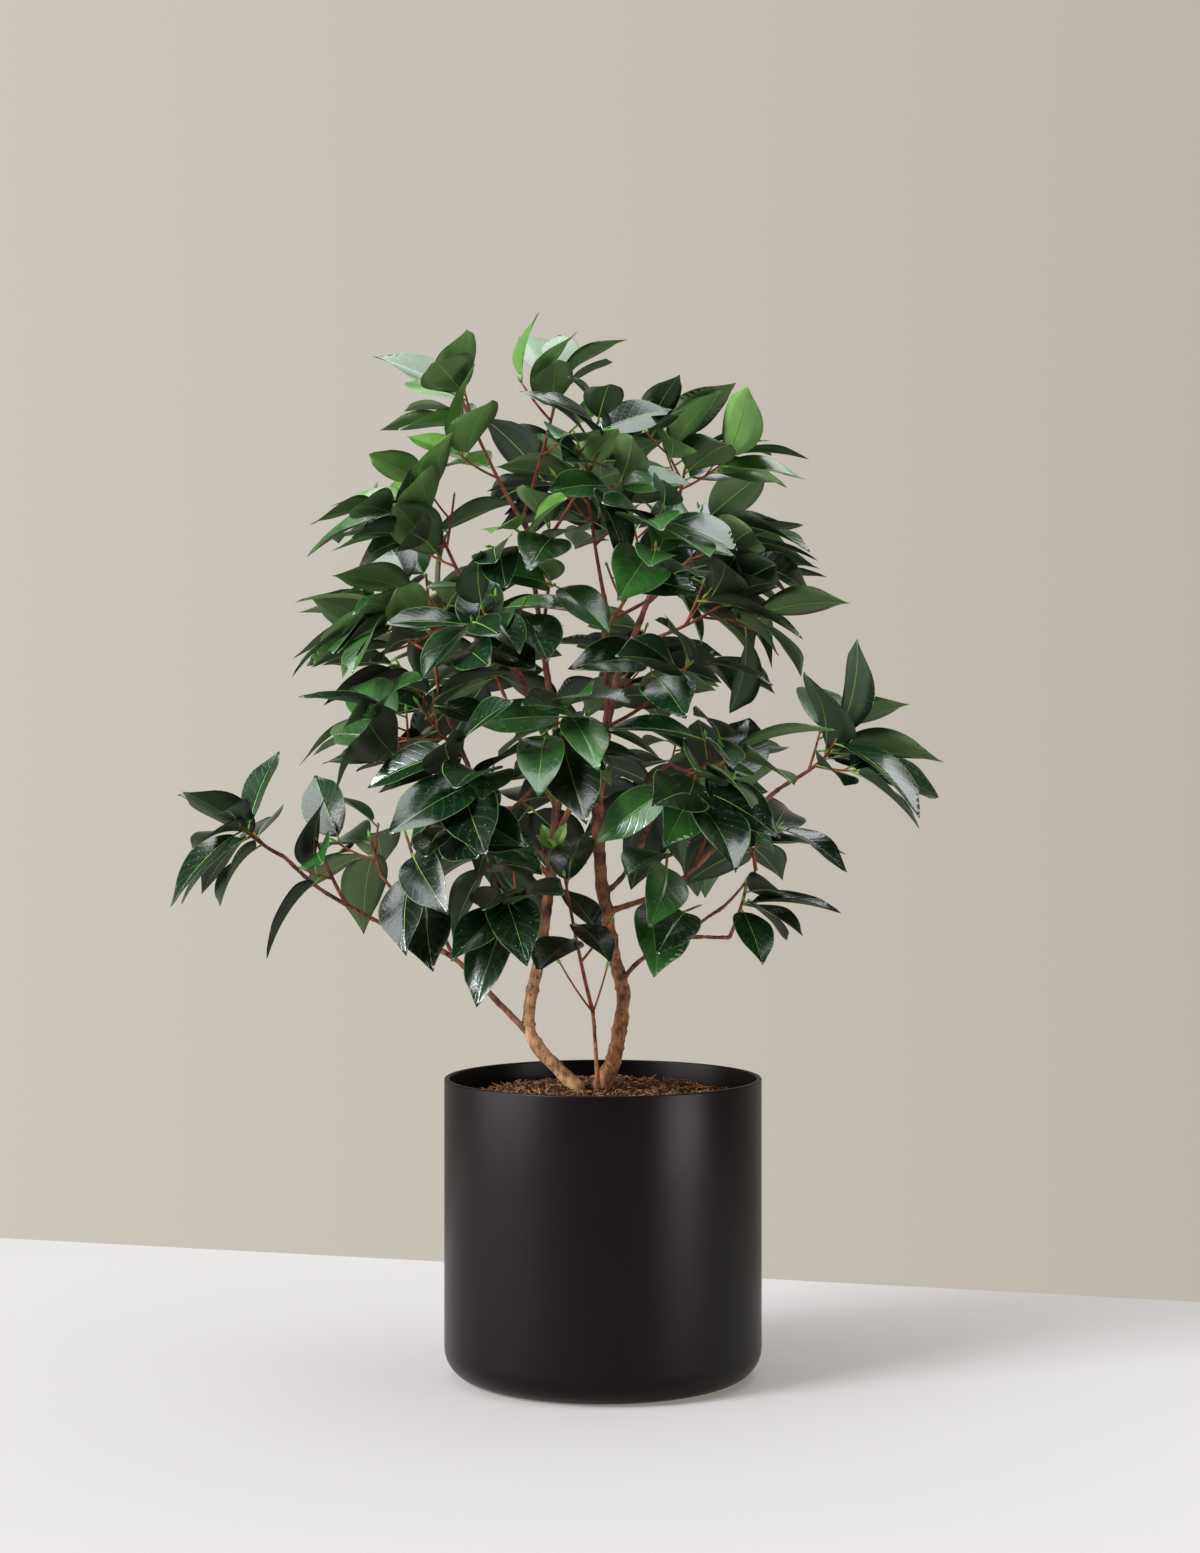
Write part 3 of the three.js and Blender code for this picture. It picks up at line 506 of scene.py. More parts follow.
def smooth_line(points, steps):
    """A smooth line through the points, with the same count of steps between each two."""
    ends = [2 * points[0] - points[1], *points, 2 * points[-1] - points[-2]]
    line = []
    for a, b, c, d in zip(ends, ends[1:], ends[2:], ends[3:]):
        for t in np.arange(steps) / steps:
            weights = (-t + 2 * t * t - t ** 3, 2 - 5 * t * t + 3 * t ** 3,
                       t + 4 * t * t - 3 * t ** 3, -t * t + t ** 3)
            line.append(sum(p * w for p, w in zip((a, b, c, d), weights)) / 2)
    return np.array([*line, points[-1]])


def step_lengths(line):
    return np.linalg.norm(np.diff(line, axis=0), axis=1)


def along(line, share):
    """The point and direction at a share of a line's length."""
    lengths = step_lengths(line)
    ends = np.cumsum(lengths)
    reach = share * ends[-1]
    i = min(int(np.searchsorted(ends, reach, side="right")), len(lengths) - 1)
    direction = (line[i + 1] - line[i]) / lengths[i]
    return line[i] + direction * (reach - ends[i] + lengths[i]), direction


def curve_tube(name, line, radii, sides):
    """A closed round tube along a line in millimetres, as a bmesh in metres."""
    curve = bpy.data.curves.new(name, "CURVE")
    curve.dimensions = "3D"
    curve.bevel_depth = MM
    curve.bevel_resolution = sides // 2 - 2  # a bevel of this resolution has that many sides
    curve.use_fill_caps = True
    spline = curve.splines.new("POLY")
    spline.points.add(len(line) - 1)
    for point, place, radius in zip(spline.points, line, radii):
        point.co = (*(place * MM), 1)
        point.radius = radius
    holder = add_object(name, curve)
    mesh = bpy.data.meshes.new_from_object(holder.evaluated_get(bpy.context.evaluated_depsgraph_get()))
    bpy.data.objects.remove(holder)
    tube = bmesh.new()
    tube.from_mesh(mesh)
    bpy.data.meshes.remove(mesh)
    bmesh.ops.remove_doubles(tube, verts=tube.verts, dist=1e-7)
    bmesh.ops.recalc_face_normals(tube, faces=tube.faces)
    return tube


def bark_wave(spot, width, length, height):
    return noise.noise(Vector((spot.x / width, spot.y / width, spot.z / length))) * height


def bark_height(spot, radius):
    """Relief of the bark in millimetres: long low ridges, knobs and fine cracks."""
    knobs = bark_wave(spot + KNOB_SHIFT, *KNOBS)
    return radius * (bark_wave(spot, *RIDGES) + knobs - abs(bark_wave(spot, *CRACKS)))


def limb_radii(limb, line):
    """Radius at each point: an even taper, the root flare or the collar, and the scar rings."""
    lengths = np.concatenate([[0], np.cumsum(step_lengths(line))])
    first, last = limb["radii"]
    radii = first + (last - first) * lengths / lengths[-1]
    if "from" in limb:
        radii = radii * (1 + COLLAR * np.exp(-lengths / COLLAR_LENGTH))
    else:
        radii = radii + limb["flare"] * np.exp(-(line[:, 2] - STEM_FOOT).clip(0) / FLARE_HEIGHT)
    random = seeded(len(limb["name"]) + int(first * 10))  # some limbs share a run
    scar = SCAR_SPACING * (FIRST_SCAR + random())
    while scar < lengths[-1]:
        radii = radii * (1 + SCAR_SWELL * random() * np.exp(-((lengths - scar) / SCAR_LENGTH) ** 2))
        scar += SCAR_SPACING * (NEXT_SCAR + random())
    return radii


def speckle(tree, ground, colour, spacing_mm, size, strength):
    """The ground colour with a soft round speck in each cell of this spacing."""
    place = add_node(tree, "TexCoord")
    cells = add_node(tree, "TexVoronoi", {"Scale": grain_size(spacing_mm)},
                     {"Vector": place.outputs["Object"]})
    specks = add_node(tree, "MapRange", {
        "From Min": size, "From Max": 2 * size, "To Min": strength, "To Max": 0}, {
        "Value": cells.outputs["Distance"]})
    speckled = add_node(tree, "Mix", {"data_type": "RGBA", 7: linear(colour)}, {
        0: specks.outputs["Result"], 6: ground})
    return speckled.outputs[2]


def bark(name, low_tones, high_tones, low_z, high_z):
    """Thin living bark: dull, streaked along the limb, redder where it is younger, higher up."""
    material, tree, shader = start_material(name, {"Roughness": 0.72, "Specular IOR Level": 0.35})
    place = add_node(tree, "TexCoord")
    stretch = add_node(tree, "Mapping", {"Scale": (1, 1, 0.22)}, {"Vector": place.outputs["Object"]})
    streaks = add_node(tree, "TexNoise", {"Scale": grain_size(2.4), "Detail": 5},
                       {"Vector": stretch.outputs["Vector"]})
    patches = add_node(tree, "TexNoise", {"Scale": grain_size(11), "Detail": 3},
                       {"Vector": place.outputs["Object"]})
    both = add_node(tree, "Math", {"operation": "MULTIPLY_ADD", 1: 0.5},
                    {0: streaks.outputs["Fac"], 2: patches.outputs["Fac"]})
    split = add_node(tree, "SeparateXYZ", links={"Vector": place.outputs["Object"]})
    height = add_node(tree, "MapRange", {"From Min": low_z, "From Max": high_z},
                      {"Value": split.outputs["Z"]})
    low, high = (blend(tree, both.outputs["Value"], dark, light, 0.58, 0.94)
                 for light, dark in (low_tones, high_tones))
    ground = add_node(tree, "Mix", {"data_type": "RGBA"}, {0: height.outputs["Result"], 6: low, 7: high})
    spotted = speckle(tree, ground.outputs[2], SPOT_COLOUR, SPOT_SPACING_MM, 0.12, 0.85)
    furrows = add_node(tree, "Bump", {"Strength": 0.8, "Distance": 0.0007},
                       {"Height": streaks.outputs["Fac"]})
    feed(shader, {"Base Color": spotted, "Normal": furrows.outputs["Normal"]})
    return material


tan_bark = bark("pale_tan_stem_bark", ("#D8A878", "#6E452B"), ("#9C6848", "#3C2418"), 0.25, 0.38)
orange_bark = bark("orange_brown_stem_bark", ("#C28456", "#56331F"), ("#985F3D", "#382117"), 0.26, 0.42)
bough_bark = bark("red_brown_bough_bark", ("#9C6A4E", "#522F24"), ("#96543E", "#46241C"), 0.30, 0.60)
STEM_BARKS = {"left_stem": tan_bark, "right_stem": orange_bark, "middle_stem": orange_bark}

limbs = [dict(zip(STEM_FIELDS, row)) for row in STEMS] + [dict(zip(BOUGH_FIELDS, row)) for row in BOUGHS]
limb_lines = {}
for limb in limbs:
    points = [np.array(point, float) for point in limb["route"]]
    if "from" in limb:
        points.insert(0, along(limb_lines[limb["from"]], limb["at"])[0])
    limb_lines[limb["name"]] = smooth_line(points, LINE_STEPS)
    fine_line = smooth_line(points, FINE_STEPS)
    sides = BOUGH_SIDES
    if "from" not in limb:
        fine_line = np.vstack([fine_line[:1] - (0, 0, STEM_SUNK), fine_line])
        sides = STEM_SIDES
    tube = curve_tube(limb["name"], fine_line, limb_radii(limb, fine_line), sides)
    tube.normal_update()
    moves = [corner.normal * bark_height(corner.co / MM, limb["radii"][0]) * MM for corner in tube.verts]
    for corner, move in zip(tube.verts, moves):
        corner.co += move
    finish_piece(f"{limb['name']}_bark", tube, [STEM_BARKS.get(limb["name"], bough_bark)],
                 [limb["name"]])


# Foliage: each mass grows from one main twig by the same rule. Side twigs leave it by the golden
# angle, leaves crowd at each twig's tip and stand apart behind it, and every mass keeps to the
# space that is nearer its own centre than any other's.
MASSES = [
    ("crown_top", "middle_leader", 1, (-34, 4, 798), 2, 40, 74, 0.45),
    ("top_left", "middle_leader", 0.93, (-115, -8, 786), 3, 46, 76, 0.25),
    ("top_right", "right_top_bough", 1, (66, 12, 726), 3, 44, 78, 0.05),
    ("top_middle", "middle_leader", 0.8, (4, -46, 748), 3, 46, 80, 0.25),
    ("top_back", "back_up_bough", 1, (-15, 90, 730), 3, 60, 74, 0.05),
    ("upper_left", "left_leader", 1, (-140, -28, 700), 3, 48, 84, 0.05),
    ("upper_left_back", "left_up_bough", 1, (-145, 60, 640), 3, 55, 76, -0.05),
    ("upper_right", "right_leader", 0.88, (92, 8, 684), 3, 52, 84, -0.05),
    ("upper_right_back", "back_up_bough", 0.8, (85, 95, 660), 3, 60, 76, 0),
    ("left_shoulder", "left_leader", 0.85, (-160, -40, 604), 3, 50, 84, -0.1),
    ("front_shoulder", "left_leader", 0.5, (-92, -98, 608), 4, 50, 80, -0.2),
    ("upper_heart", "middle_leader", 0.5, (-38, -88, 664), 4, 50, 80, -0.15),
    ("left_waist", "left_up_bough", 0.7, (-150, 30, 538), 3, 50, 80, -0.2),
    ("left_side", "left_mid_bough", 1, (-160, -58, 505), 3, 48, 86, -0.2),
    ("left_front", "left_mid_bough", 0.55, (-110, -115, 478), 4, 48, 86, -0.35),
    ("centre_front", "crossing_bough", 0.2, (-32, -108, 512), 4, 50, 86, -0.35),
    ("upper_front", "crossing_bough", 0.97, (40, -72, 662), 4, 50, 84, -0.05),
    ("right_shoulder", "right_leader", 0.6, (98, -10, 618), 3, 50, 84, -0.15),
    ("right_front", "crossing_bough", 0.55, (66, -90, 566), 4, 50, 86, -0.25),
    ("right_waist", "right_inner_bough", 1, (78, -100, 480), 3, 48, 88, -0.35),
    ("right_reach", "right_long_bough", 1, (178, -46, 498), 3, 34, 92, 0),
    ("right_middle", "right_long_bough", 0.45, (100, -4, 500), 3, 46, 80, -0.15),
    ("low_right", "right_low_bough", 1, (112, -40, 388), 2, 26, 72, -0.2),
    ("right_hem", "right_low_fork", 1, (118, -6, 434), 3, 30, 74, -0.3),
    ("low_right_front", "right_low_bough", 0.4, (50, -76, 420), 3, 44, 86, -0.3),
    ("low_middle", "middle_stem", 1, (-30, -62, 402), 3, 44, 74, 0),
    ("low_left_front", "left_stem", 0.42, (-88, -84, 414), 3, 44, 78, -0.2),
    ("left_tip", "left_reach", 1, (-278, -56, 436), 2, 24, 74, -0.35),
    ("left_reach_side", "left_reach", 0.55, (-222, -76, 430), 2, 30, 74, 0.05),
    ("left_hem", "low_left_bough", 0.82, (-152, -84, 434), 2, 36, 88, -0.3),
    ("left_fork", "left_low_fork", 1, (-186, -8, 430), 3, 38, 80, -0.1),
    ("back_left", "back_left_bough", 1, (-95, 140, 580), 3, 62, 78, -0.1),
    ("back_middle", "back_up_bough", 0.35, (30, 140, 560), 3, 62, 78, -0.1),
    ("back_low_left", "back_left_bough", 0.3, (-95, 96, 440), 3, 58, 78, -0.2),
    ("back_low", "back_low_bough", 1, (52, 136, 470), 3, 62, 78, -0.2),
]
FIELDS = ("name", "limb", "at", "tip", "twigs", "reach", "leaf", "lift")
MAIN_TWIG_RADII = (2.2, 1.5)
TWIG_SAG = 0.1
SIDE_TWIG_SAG = 0.08
MAIN_TWIG_STEPS = 3
SIDE_TWIG_STEPS = 2
MAIN_TWIG_BARE = 0.45
SIDE_TWIG_BARE = 0.2
SPACE_CENTRE_SHARE = 0.75
GOLDEN_ANGLE = math.radians(137.5)
LEAF_TO_SPACE_EDGE = 1.2
TWIG_TO_SPACE_EDGE = 3
LEAF_TO_LIMB = 4
TWIG_TO_LIMB = 3
ROSETTE_LEAVES = 4
ROSETTE_SPACING = 5
LEAF_SPACING = 13
LEAF_SWINGS = (0, 0.9, -0.9)
LEAF_FOLD = 0.25
LEAF_STATIONS = [(0.25, 0.62), (0.42, 0.97), (0.55, 1.0), (0.7, 0.8), (0.84, 0.42), (1, 0)]
BLADE_MIDDLE = 0.5
LEAF_RIM = [(0.15, 0), (BLADE_MIDDLE, 1), (1, 0), (BLADE_MIDDLE, -1)]
UP = np.array([0.0, 0.0, 1.0])
CROWN_MIDDLE_X = -15
OUTWARD_EASE = 40

# Habit of a side twig: where on its parent it may leave, how its length falls towards the tip and
# varies, and how far it heads along the parent, away from it, outwards and up.
SIDE_TWIG = SimpleNamespace(
    first_share=0.3, share_span=0.52, turn_jitter=0.6,
    length=1.15, shortening=0.45, least_length=0.8, length_range=0.4,
    ahead=0.6, aside=0.8, outward=0.25, rise=0.15)

# Habit of a leaf: degrees it opens from its twig, wider for each leaf behind the tip, its size
# against the mass's leaf length, its arch over its length, the share of its rise that it keeps as
# it levels out, and which way its face turns.
LEAF = SimpleNamespace(
    turn_jitter=0.5, open=36, open_step=10, open_steps=4, open_jitter=16,
    least_length=0.86, length_range=0.28, tip_leaf_length=0.9,
    least_half=0.235, half_range=0.04, least_arch=0.16, arch_range=0.26, roll_range=0.8,
    levelling=0.7, face_up=0.85, face_outward=0.5, face_ahead=0.35)


def unit(vector):
    return vector / np.linalg.norm(vector)


def twig_line(root, tip, sag, steps):
    """A twig leaves low and rises to its tip."""
    middle = (root + tip) / 2 - UP * sag * np.linalg.norm(tip - root)
    t = np.linspace(0, 1, steps + 1)[:, None]
    return root * (1 - t) ** 2 + 2 * middle * t * (1 - t) + tip * t * t


masses = []
for row in MASSES:
    mass = dict(zip(FIELDS, row))
    root = along(limb_lines[mass["limb"]], mass["at"])[0]
    tip = np.array(mass["tip"], float)
    mass["stem"] = twig_line(root, tip, TWIG_SAG, MAIN_TWIG_STEPS)
    mass["centre"] = root * (1 - SPACE_CENTRE_SHARE) + tip * SPACE_CENTRE_SHARE
    masses.append(mass)
centres = np.array([mass["centre"] for mass in masses])

wood = [(limb_lines[limb["name"]], limb["radii"], -1) for limb in limbs]
wood += [(mass["stem"], MAIN_TWIG_RADII, number) for number, mass in enumerate(masses)]
segments = []
for line, end_radii, owner in wood:
    radii = np.linspace(*end_radii, len(line))
    segments += [(a, b, (r + s) / 2, owner) for a, b, r, s in zip(line, line[1:], radii, radii[1:])]
wood_starts, wood_ends, wood_radii, wood_owners = (np.array(column) for column in zip(*segments))


def inside_space(number, points, margin):
    """True where all points lie nearer this mass's centre than any other's."""
    squares = ((points[:, None] - centres) ** 2).sum(2)
    apart = 2 * np.linalg.norm(centres - centres[number], axis=1)
    others = np.arange(len(centres)) != number
    return ((squares - squares[:, number:number + 1])[:, others] / apart[others]).min() > margin


def clear_of_wood(number, points, gap):
    others = wood_owners != number
    starts, steps = wood_starts[others], (wood_ends - wood_starts)[others]
    offsets = points[:, None] - starts
    shares = ((offsets * steps).sum(2) / (steps * steps).sum(1)).clip(0, 1)
    distances = np.linalg.norm(offsets - shares[..., None] * steps, axis=2)
    return (distances - wood_radii[others]).min() > gap


def outward_from(point):
    outward = np.array([point[0] - CROWN_MIDDLE_X, point[1], 0])
    return outward / max(np.linalg.norm(outward), OUTWARD_EASE)


def around(axis, angle):
    """The direction at an angle round a twig."""
    side = unit(np.cross(axis, UP))
    return side * math.cos(angle) + np.cross(side, axis) * math.sin(angle)


def grow_twigs(number, parent, count, reach, random):
    """Side twigs of a parent twig, shorter towards its tip."""
    mass = masses[number]
    twigs = []
    turn = random() * 2 * math.pi
    for i in range(count):
        share = SIDE_TWIG.first_share + SIDE_TWIG.share_span * (i + 0.5) / count
        point, direction = along(parent, share)
        angle = turn + i * GOLDEN_ANGLE + (random() - 0.5) * SIDE_TWIG.turn_jitter
        length = reach * (SIDE_TWIG.length - SIDE_TWIG.shortening * share)
        length *= SIDE_TWIG.least_length + SIDE_TWIG.length_range * random()
        heading = unit(direction * SIDE_TWIG.ahead + around(direction, angle) * SIDE_TWIG.aside
                       + outward_from(point) * SIDE_TWIG.outward + UP * SIDE_TWIG.rise)
        line = twig_line(point, point + heading * length, SIDE_TWIG_SAG, SIDE_TWIG_STEPS)
        clear = clear_of_wood(number, line[1:], TWIG_TO_LIMB)
        if clear and inside_space(number, line[1:], TWIG_TO_SPACE_EDGE):
            twigs.append({"line": line, "bare": SIDE_TWIG_BARE, "kind": "side", "mass": mass["name"]})
    return twigs


def midrib_point(leaf, share):
    return (leaf["root"] + leaf["heading"] * leaf["length"] * share
            - leaf["face"] * leaf["arch"] * leaf["length"] * share * share)


def leaf_point(leaf, share, side):
    """A point on a leaf at a share of its length, and of its half width to one side."""
    return (midrib_point(leaf, share) + leaf["across"] * leaf["half"] * side
            + leaf["face"] * leaf["half"] * abs(side) * LEAF_FOLD)


def place_leaf(mass, drawn, root, axis, swing):
    heading = axis * math.cos(drawn["open"]) + around(axis, drawn["angle"] + swing) * math.sin(drawn["open"])
    heading = unit(heading * (1, 1, LEAF.levelling) + UP * mass["lift"])
    face = UP * LEAF.face_up + outward_from(root) * LEAF.face_outward + axis * LEAF.face_ahead
    face = unit(face - heading * face.dot(heading))
    face = unit(face + np.cross(heading, face) * drawn["roll"])
    return {**drawn, "root": root, "heading": heading, "face": face, "across": np.cross(heading, face)}


def blade_of(leaf):
    """A leaf's blade as four flat faces round its middle, and the eight edges of those faces."""
    rim = [leaf_point(leaf, *place) for place in LEAF_RIM]
    middle = leaf_point(leaf, BLADE_MIDDLE, 0)
    faces = np.array([(rim[k], rim[(k + 1) % 4], middle) for k in range(4)])
    edges = np.concatenate([faces[:, [0, 1]], faces[:, [0, 2]]])
    return faces, edges


def cuts(edges, faces):
    """True where an edge passes through a face."""
    start, run = edges[:, None, 0], (edges[:, 1] - edges[:, 0])[:, None]
    first, second = (faces[:, 1] - faces[:, 0])[None], (faces[:, 2] - faces[:, 0])[None]
    across = np.cross(run, second)
    size = (first * across).sum(2)
    size = np.where(np.abs(size) < 1e-9, 1e-9, size)
    offset = start - faces[None, :, 0]
    u = (offset * across).sum(2) / size
    turned = np.cross(offset, first)
    v = (run * turned).sum(2) / size
    t = (second * turned).sum(2) / size
    return bool(((u >= 0) & (v >= 0) & (u + v <= 1) & (t >= 0) & (t <= 1)).any())


def leaf_fits(number, leaf, blades, margin):
    outline = np.array([leaf_point(leaf, share, width * side)
                        for share, width in LEAF_STATIONS for side in (0, 1, -1)])
    if not inside_space(number, outline, margin) or not clear_of_wood(number, outline, LEAF_TO_LIMB):
        return False
    if blades:
        faces, edges = blade_of(leaf)
        other_faces = np.concatenate([blade[0] for blade in blades])
        other_edges = np.concatenate([blade[1] for blade in blades])
        return not cuts(edges, other_faces) and not cuts(other_edges, faces)
    return True


def grow_leaves(number, twigs, size, blades, random, margin=LEAF_TO_SPACE_EDGE):
    """Sets leaves on the twigs, from each tip backwards, and keeps the twigs that carry some."""
    mass = masses[number]
    leafy = []
    for twig in twigs:
        line = twig["line"]
        length = step_lengths(line).sum()
        turn = random() * 2 * math.pi
        leaves = []
        order = 0
        back = 0
        while back < length * (1 - twig["bare"]):
            point, direction = along(line, 1 - back / length)
            angle = turn + order * GOLDEN_ANGLE + (random() - 0.5) * LEAF.turn_jitter
            opening = LEAF.open + LEAF.open_step * min(order, LEAF.open_steps)
            opening = math.radians(opening + (random() - 0.5) * LEAF.open_jitter)
            leaf_length = size * (LEAF.least_length + LEAF.length_range * random())
            leaf_length *= LEAF.tip_leaf_length if order == 0 else 1
            half = leaf_length * (LEAF.least_half + LEAF.half_range * random())
            arch = LEAF.least_arch + LEAF.arch_range * random()
            roll = (random() - 0.5) * LEAF.roll_range
            drawn = {"angle": angle, "open": opening, "length": leaf_length, "half": half,
                     "arch": arch, "roll": roll}
            for swing in LEAF_SWINGS:
                leaf = place_leaf(mass, drawn, point, direction, swing)
                if leaf_fits(number, leaf, blades, margin):
                    leaves.append(leaf)
                    blades.append(blade_of(leaf))
                    break
            order += 1
            back += ROSETTE_SPACING if order < ROSETTE_LEAVES else LEAF_SPACING
        if leaves or not leafy:
            leafy.append({**twig, "leaves": leaves})
    return leafy


# Finer twigs: one grows on from each of the others, with smaller leaves that may reach a little
# into the next mass. The outer and the lowest sprays, which stand against the open air, have none.
FINE_TWIGS = 1
FINE_REACH = 0.75
FINE_LEAF = 0.9
FINE_LEAF_MARGIN = -20
OPEN_MASSES = {
    "left_tip", "left_reach_side", "right_reach", "low_right", "right_hem", "left_hem", "low_middle",
    "low_left_front", "low_right_front", "left_fork", "back_low", "back_low_left", "crown_top", "top_left",
}
twigs = []
for number, mass in enumerate(masses):
    random = seeded(number)
    main = {"line": mass["stem"], "bare": MAIN_TWIG_BARE, "kind": "main", "mass": mass["name"]}
    sides = grow_twigs(number, mass["stem"], mass["twigs"], mass["reach"], random)
    blades = []
    grown = grow_leaves(number, [main, *sides], mass["leaf"], blades, random)
    for twig in list(grown):
        count = 0 if mass["name"] in OPEN_MASSES else FINE_TWIGS
        fine = grow_twigs(number, twig["line"], count, mass["reach"] * FINE_REACH, random)
        leafy = grow_leaves(number, fine, mass["leaf"] * FINE_LEAF, blades, random, FINE_LEAF_MARGIN)
        grown += [{**twig, "kind": "fine"} for twig in leafy if twig["leaves"]]
    twigs += grown

# The middle stem forks at its top: a thin bare shoot leaves it on either side of the main twig.
FORK_SHOOTS = [[(-20, -18, 312), (-34, -24, 331)], [(-2, -10, 306), (3, -12, 326)]]
fork = limb_lines["middle_stem"][-1]
for shoot in FORK_SHOOTS:
    twigs.append({"line": np.array([fork, *shoot]), "kind": "fine", "mass": "low_middle", "leaves": []})
foliage_nodes = [f"foliage_{mass['name']}" for mass in masses]


# Twigs: the wood of the last years, thin and smooth. The main twigs are red-brown like the
# boughs, and the side twigs are orange-brown.
TUBE_SIDE = np.array([1, 0.2, 0.1])
TWIG_SIDES = 7
TWIG_STEPS = 9
TWIG_RADII = {"main": (1.7, 1.15), "side": (1.15, 0.85), "fine": (0.9, 0.7)}


def ring_tube(line, radii, sides):
    """Corners and faces of a closed round tube along a line, for many thin ones."""
    normal = TUBE_SIDE
    corners = []
    for k, point in enumerate(line):
        axis = unit(line[min(k + 1, len(line) - 1)] - line[max(k - 1, 0)])
        normal = unit(normal - axis * normal.dot(axis))
        angles = 2 * math.pi * np.arange(sides)[:, None] / sides
        corners.append(point + radii[k] * (normal * np.cos(angles) + np.cross(axis, normal) * np.sin(angles)))
    return np.concatenate(corners), tube_faces(len(line), sides)


def fine_twig(twig):
    """The twig's own curve in finer steps."""
    root, tip = twig["line"][0], twig["line"][-1]
    sag = TWIG_SAG if twig["kind"] == "main" else SIDE_TWIG_SAG
    return twig_line(root, tip, sag, TWIG_STEPS)


twig_wood = bark("red_brown_twig_bark", ("#8C4E36", "#50291E"), ("#A05A3C", "#5E3020"), 0.35, 0.7)
young_wood = bark("orange_brown_young_bark", ("#A05C3C", "#6A3824"), ("#B26A44", "#7A4229"), 0.35, 0.7)
for name, kinds, material in (("main_twigs", ("main",), twig_wood),
                              ("side_twigs", ("side", "fine"), young_wood)):
    shapes = []
    for twig in twigs:
        if twig["kind"] in kinds:
            line = fine_twig(twig)
            radii = np.linspace(*TWIG_RADII[twig["kind"]], len(line))
            shapes.append(ring_tube(line, radii, TWIG_SIDES))
    finish_piece(name, mesh_from(name, shapes, MM), [material], foliage_nodes)


# Leaves: leathery ovals drawn out to a point, folded up along the midrib and arched over. The
# upper face is glossy and dark, the lower one pale and dull, and a thin pale line runs round
# the edge. Every spray takes one of four greens by its place and age, and the sprouts a fifth.
# The bright young green at the top of the crown is partly painted light: it also stands in for
# light shining through the leaves from behind.
BLADE_START = 0.1
BLADE_STEPS = 16
TOP_COLUMNS = (-1, -0.965, -0.6, -0.12, 0, 0.12, 0.6, 0.965, 1)
LOW_COLUMNS = (-0.5, 0, 0.5)
LEAF_THICK = 0.3
VEIN_PAIRS = 8
VEIN_LEAN = 2.2
VEIN_WIDTH = 0.13
UPPER, LOWER, EDGE = 0, 1, 2
BLADE_SKEW = 0.87
BLADE_FULLNESS = 0.74
TIP_START = 0.74
TIP_NARROWING = 0.5
FOLD_RISE = 0.34
FOLD_EASE = 0.09
WAVE_HEIGHT = 0.07
WAVE_TURN = 7
OTHER_SIDE_TURN = 2
WAVE_START = 0.25


def blade_width(u):
    """Half width of a blade at a share of its length: broadest below the middle, drawn-out tip."""
    drawn_out = max(u - TIP_START, 0) / (1 - TIP_START)
    return math.sin(math.pi * u ** BLADE_SKEW) ** BLADE_FULLNESS * (1 - TIP_NARROWING * drawn_out)


def blade_spot(leaf, u, side, drop):
    """A point on the blade, with its fold, its twist and its gentle waves."""
    share = BLADE_START + (1 - BLADE_START) * u
    x = abs(side)
    half = leaf["half"] * blade_width(u) if 0 < u < 1 else 0
    fold = half * (FOLD_RISE * x - FOLD_EASE * x * x) * leaf["fold"]
    phase = leaf["wave"] + WAVE_TURN * u + (OTHER_SIDE_TURN if side > 0 else 0)
    wave = leaf["half"] * WAVE_HEIGHT * x * x * math.sin(phase) * min(u / WAVE_START, 1)
    twist = leaf["twist"] * u * half * side
    return (midrib_point(leaf, share) + leaf["across"] * half * side
            + leaf["face"] * (fold + wave + twist - drop))


def blade_faces():
    """Faces of one blade, round it in strips from root to tip, and the material slot of each."""
    wide = len(TOP_COLUMNS)
    row = wide + len(LOW_COLUMNS)
    loop = [*range(wide), *range(row - 1, wide - 1, -1)]
    rings = [[0] * row, *([2 + k * row + c for c in loop] for k in range(BLADE_STEPS - 1)), [1] * row]
    faces, slots = [], []
    for strip, (here, there) in enumerate(zip(rings, rings[1:])):
        for a in range(row):
            b = (a + 1) % row
            faces.append(tuple(dict.fromkeys((here[a], here[b], there[b], there[a]))))
            upper = EDGE if strip > 0 and a in (0, wide - 2) else UPPER
            slots.append(upper if a < wide - 1 else LOWER)
    return faces, slots


# Where each corner of a blade lies: its share of the length, its side, and its drop below the top.
BLADE_SPOTS = [(0, 0, 0), (1, 0, 0)]
for k in range(1, BLADE_STEPS):
    BLADE_SPOTS += [(k / BLADE_STEPS, side, 0) for side in TOP_COLUMNS]
    BLADE_SPOTS += [(k / BLADE_STEPS, side, LEAF_THICK) for side in LOW_COLUMNS]


def mark_places(mesh, places):
    """Stores each corner's place on its own blade, for the veins."""
    corners = np.empty(len(mesh.loops), dtype=np.int32)
    mesh.loops.foreach_get("vertex_index", corners)
    mesh.uv_layers.new(name="blade").data.foreach_set("uv", places[corners].ravel())


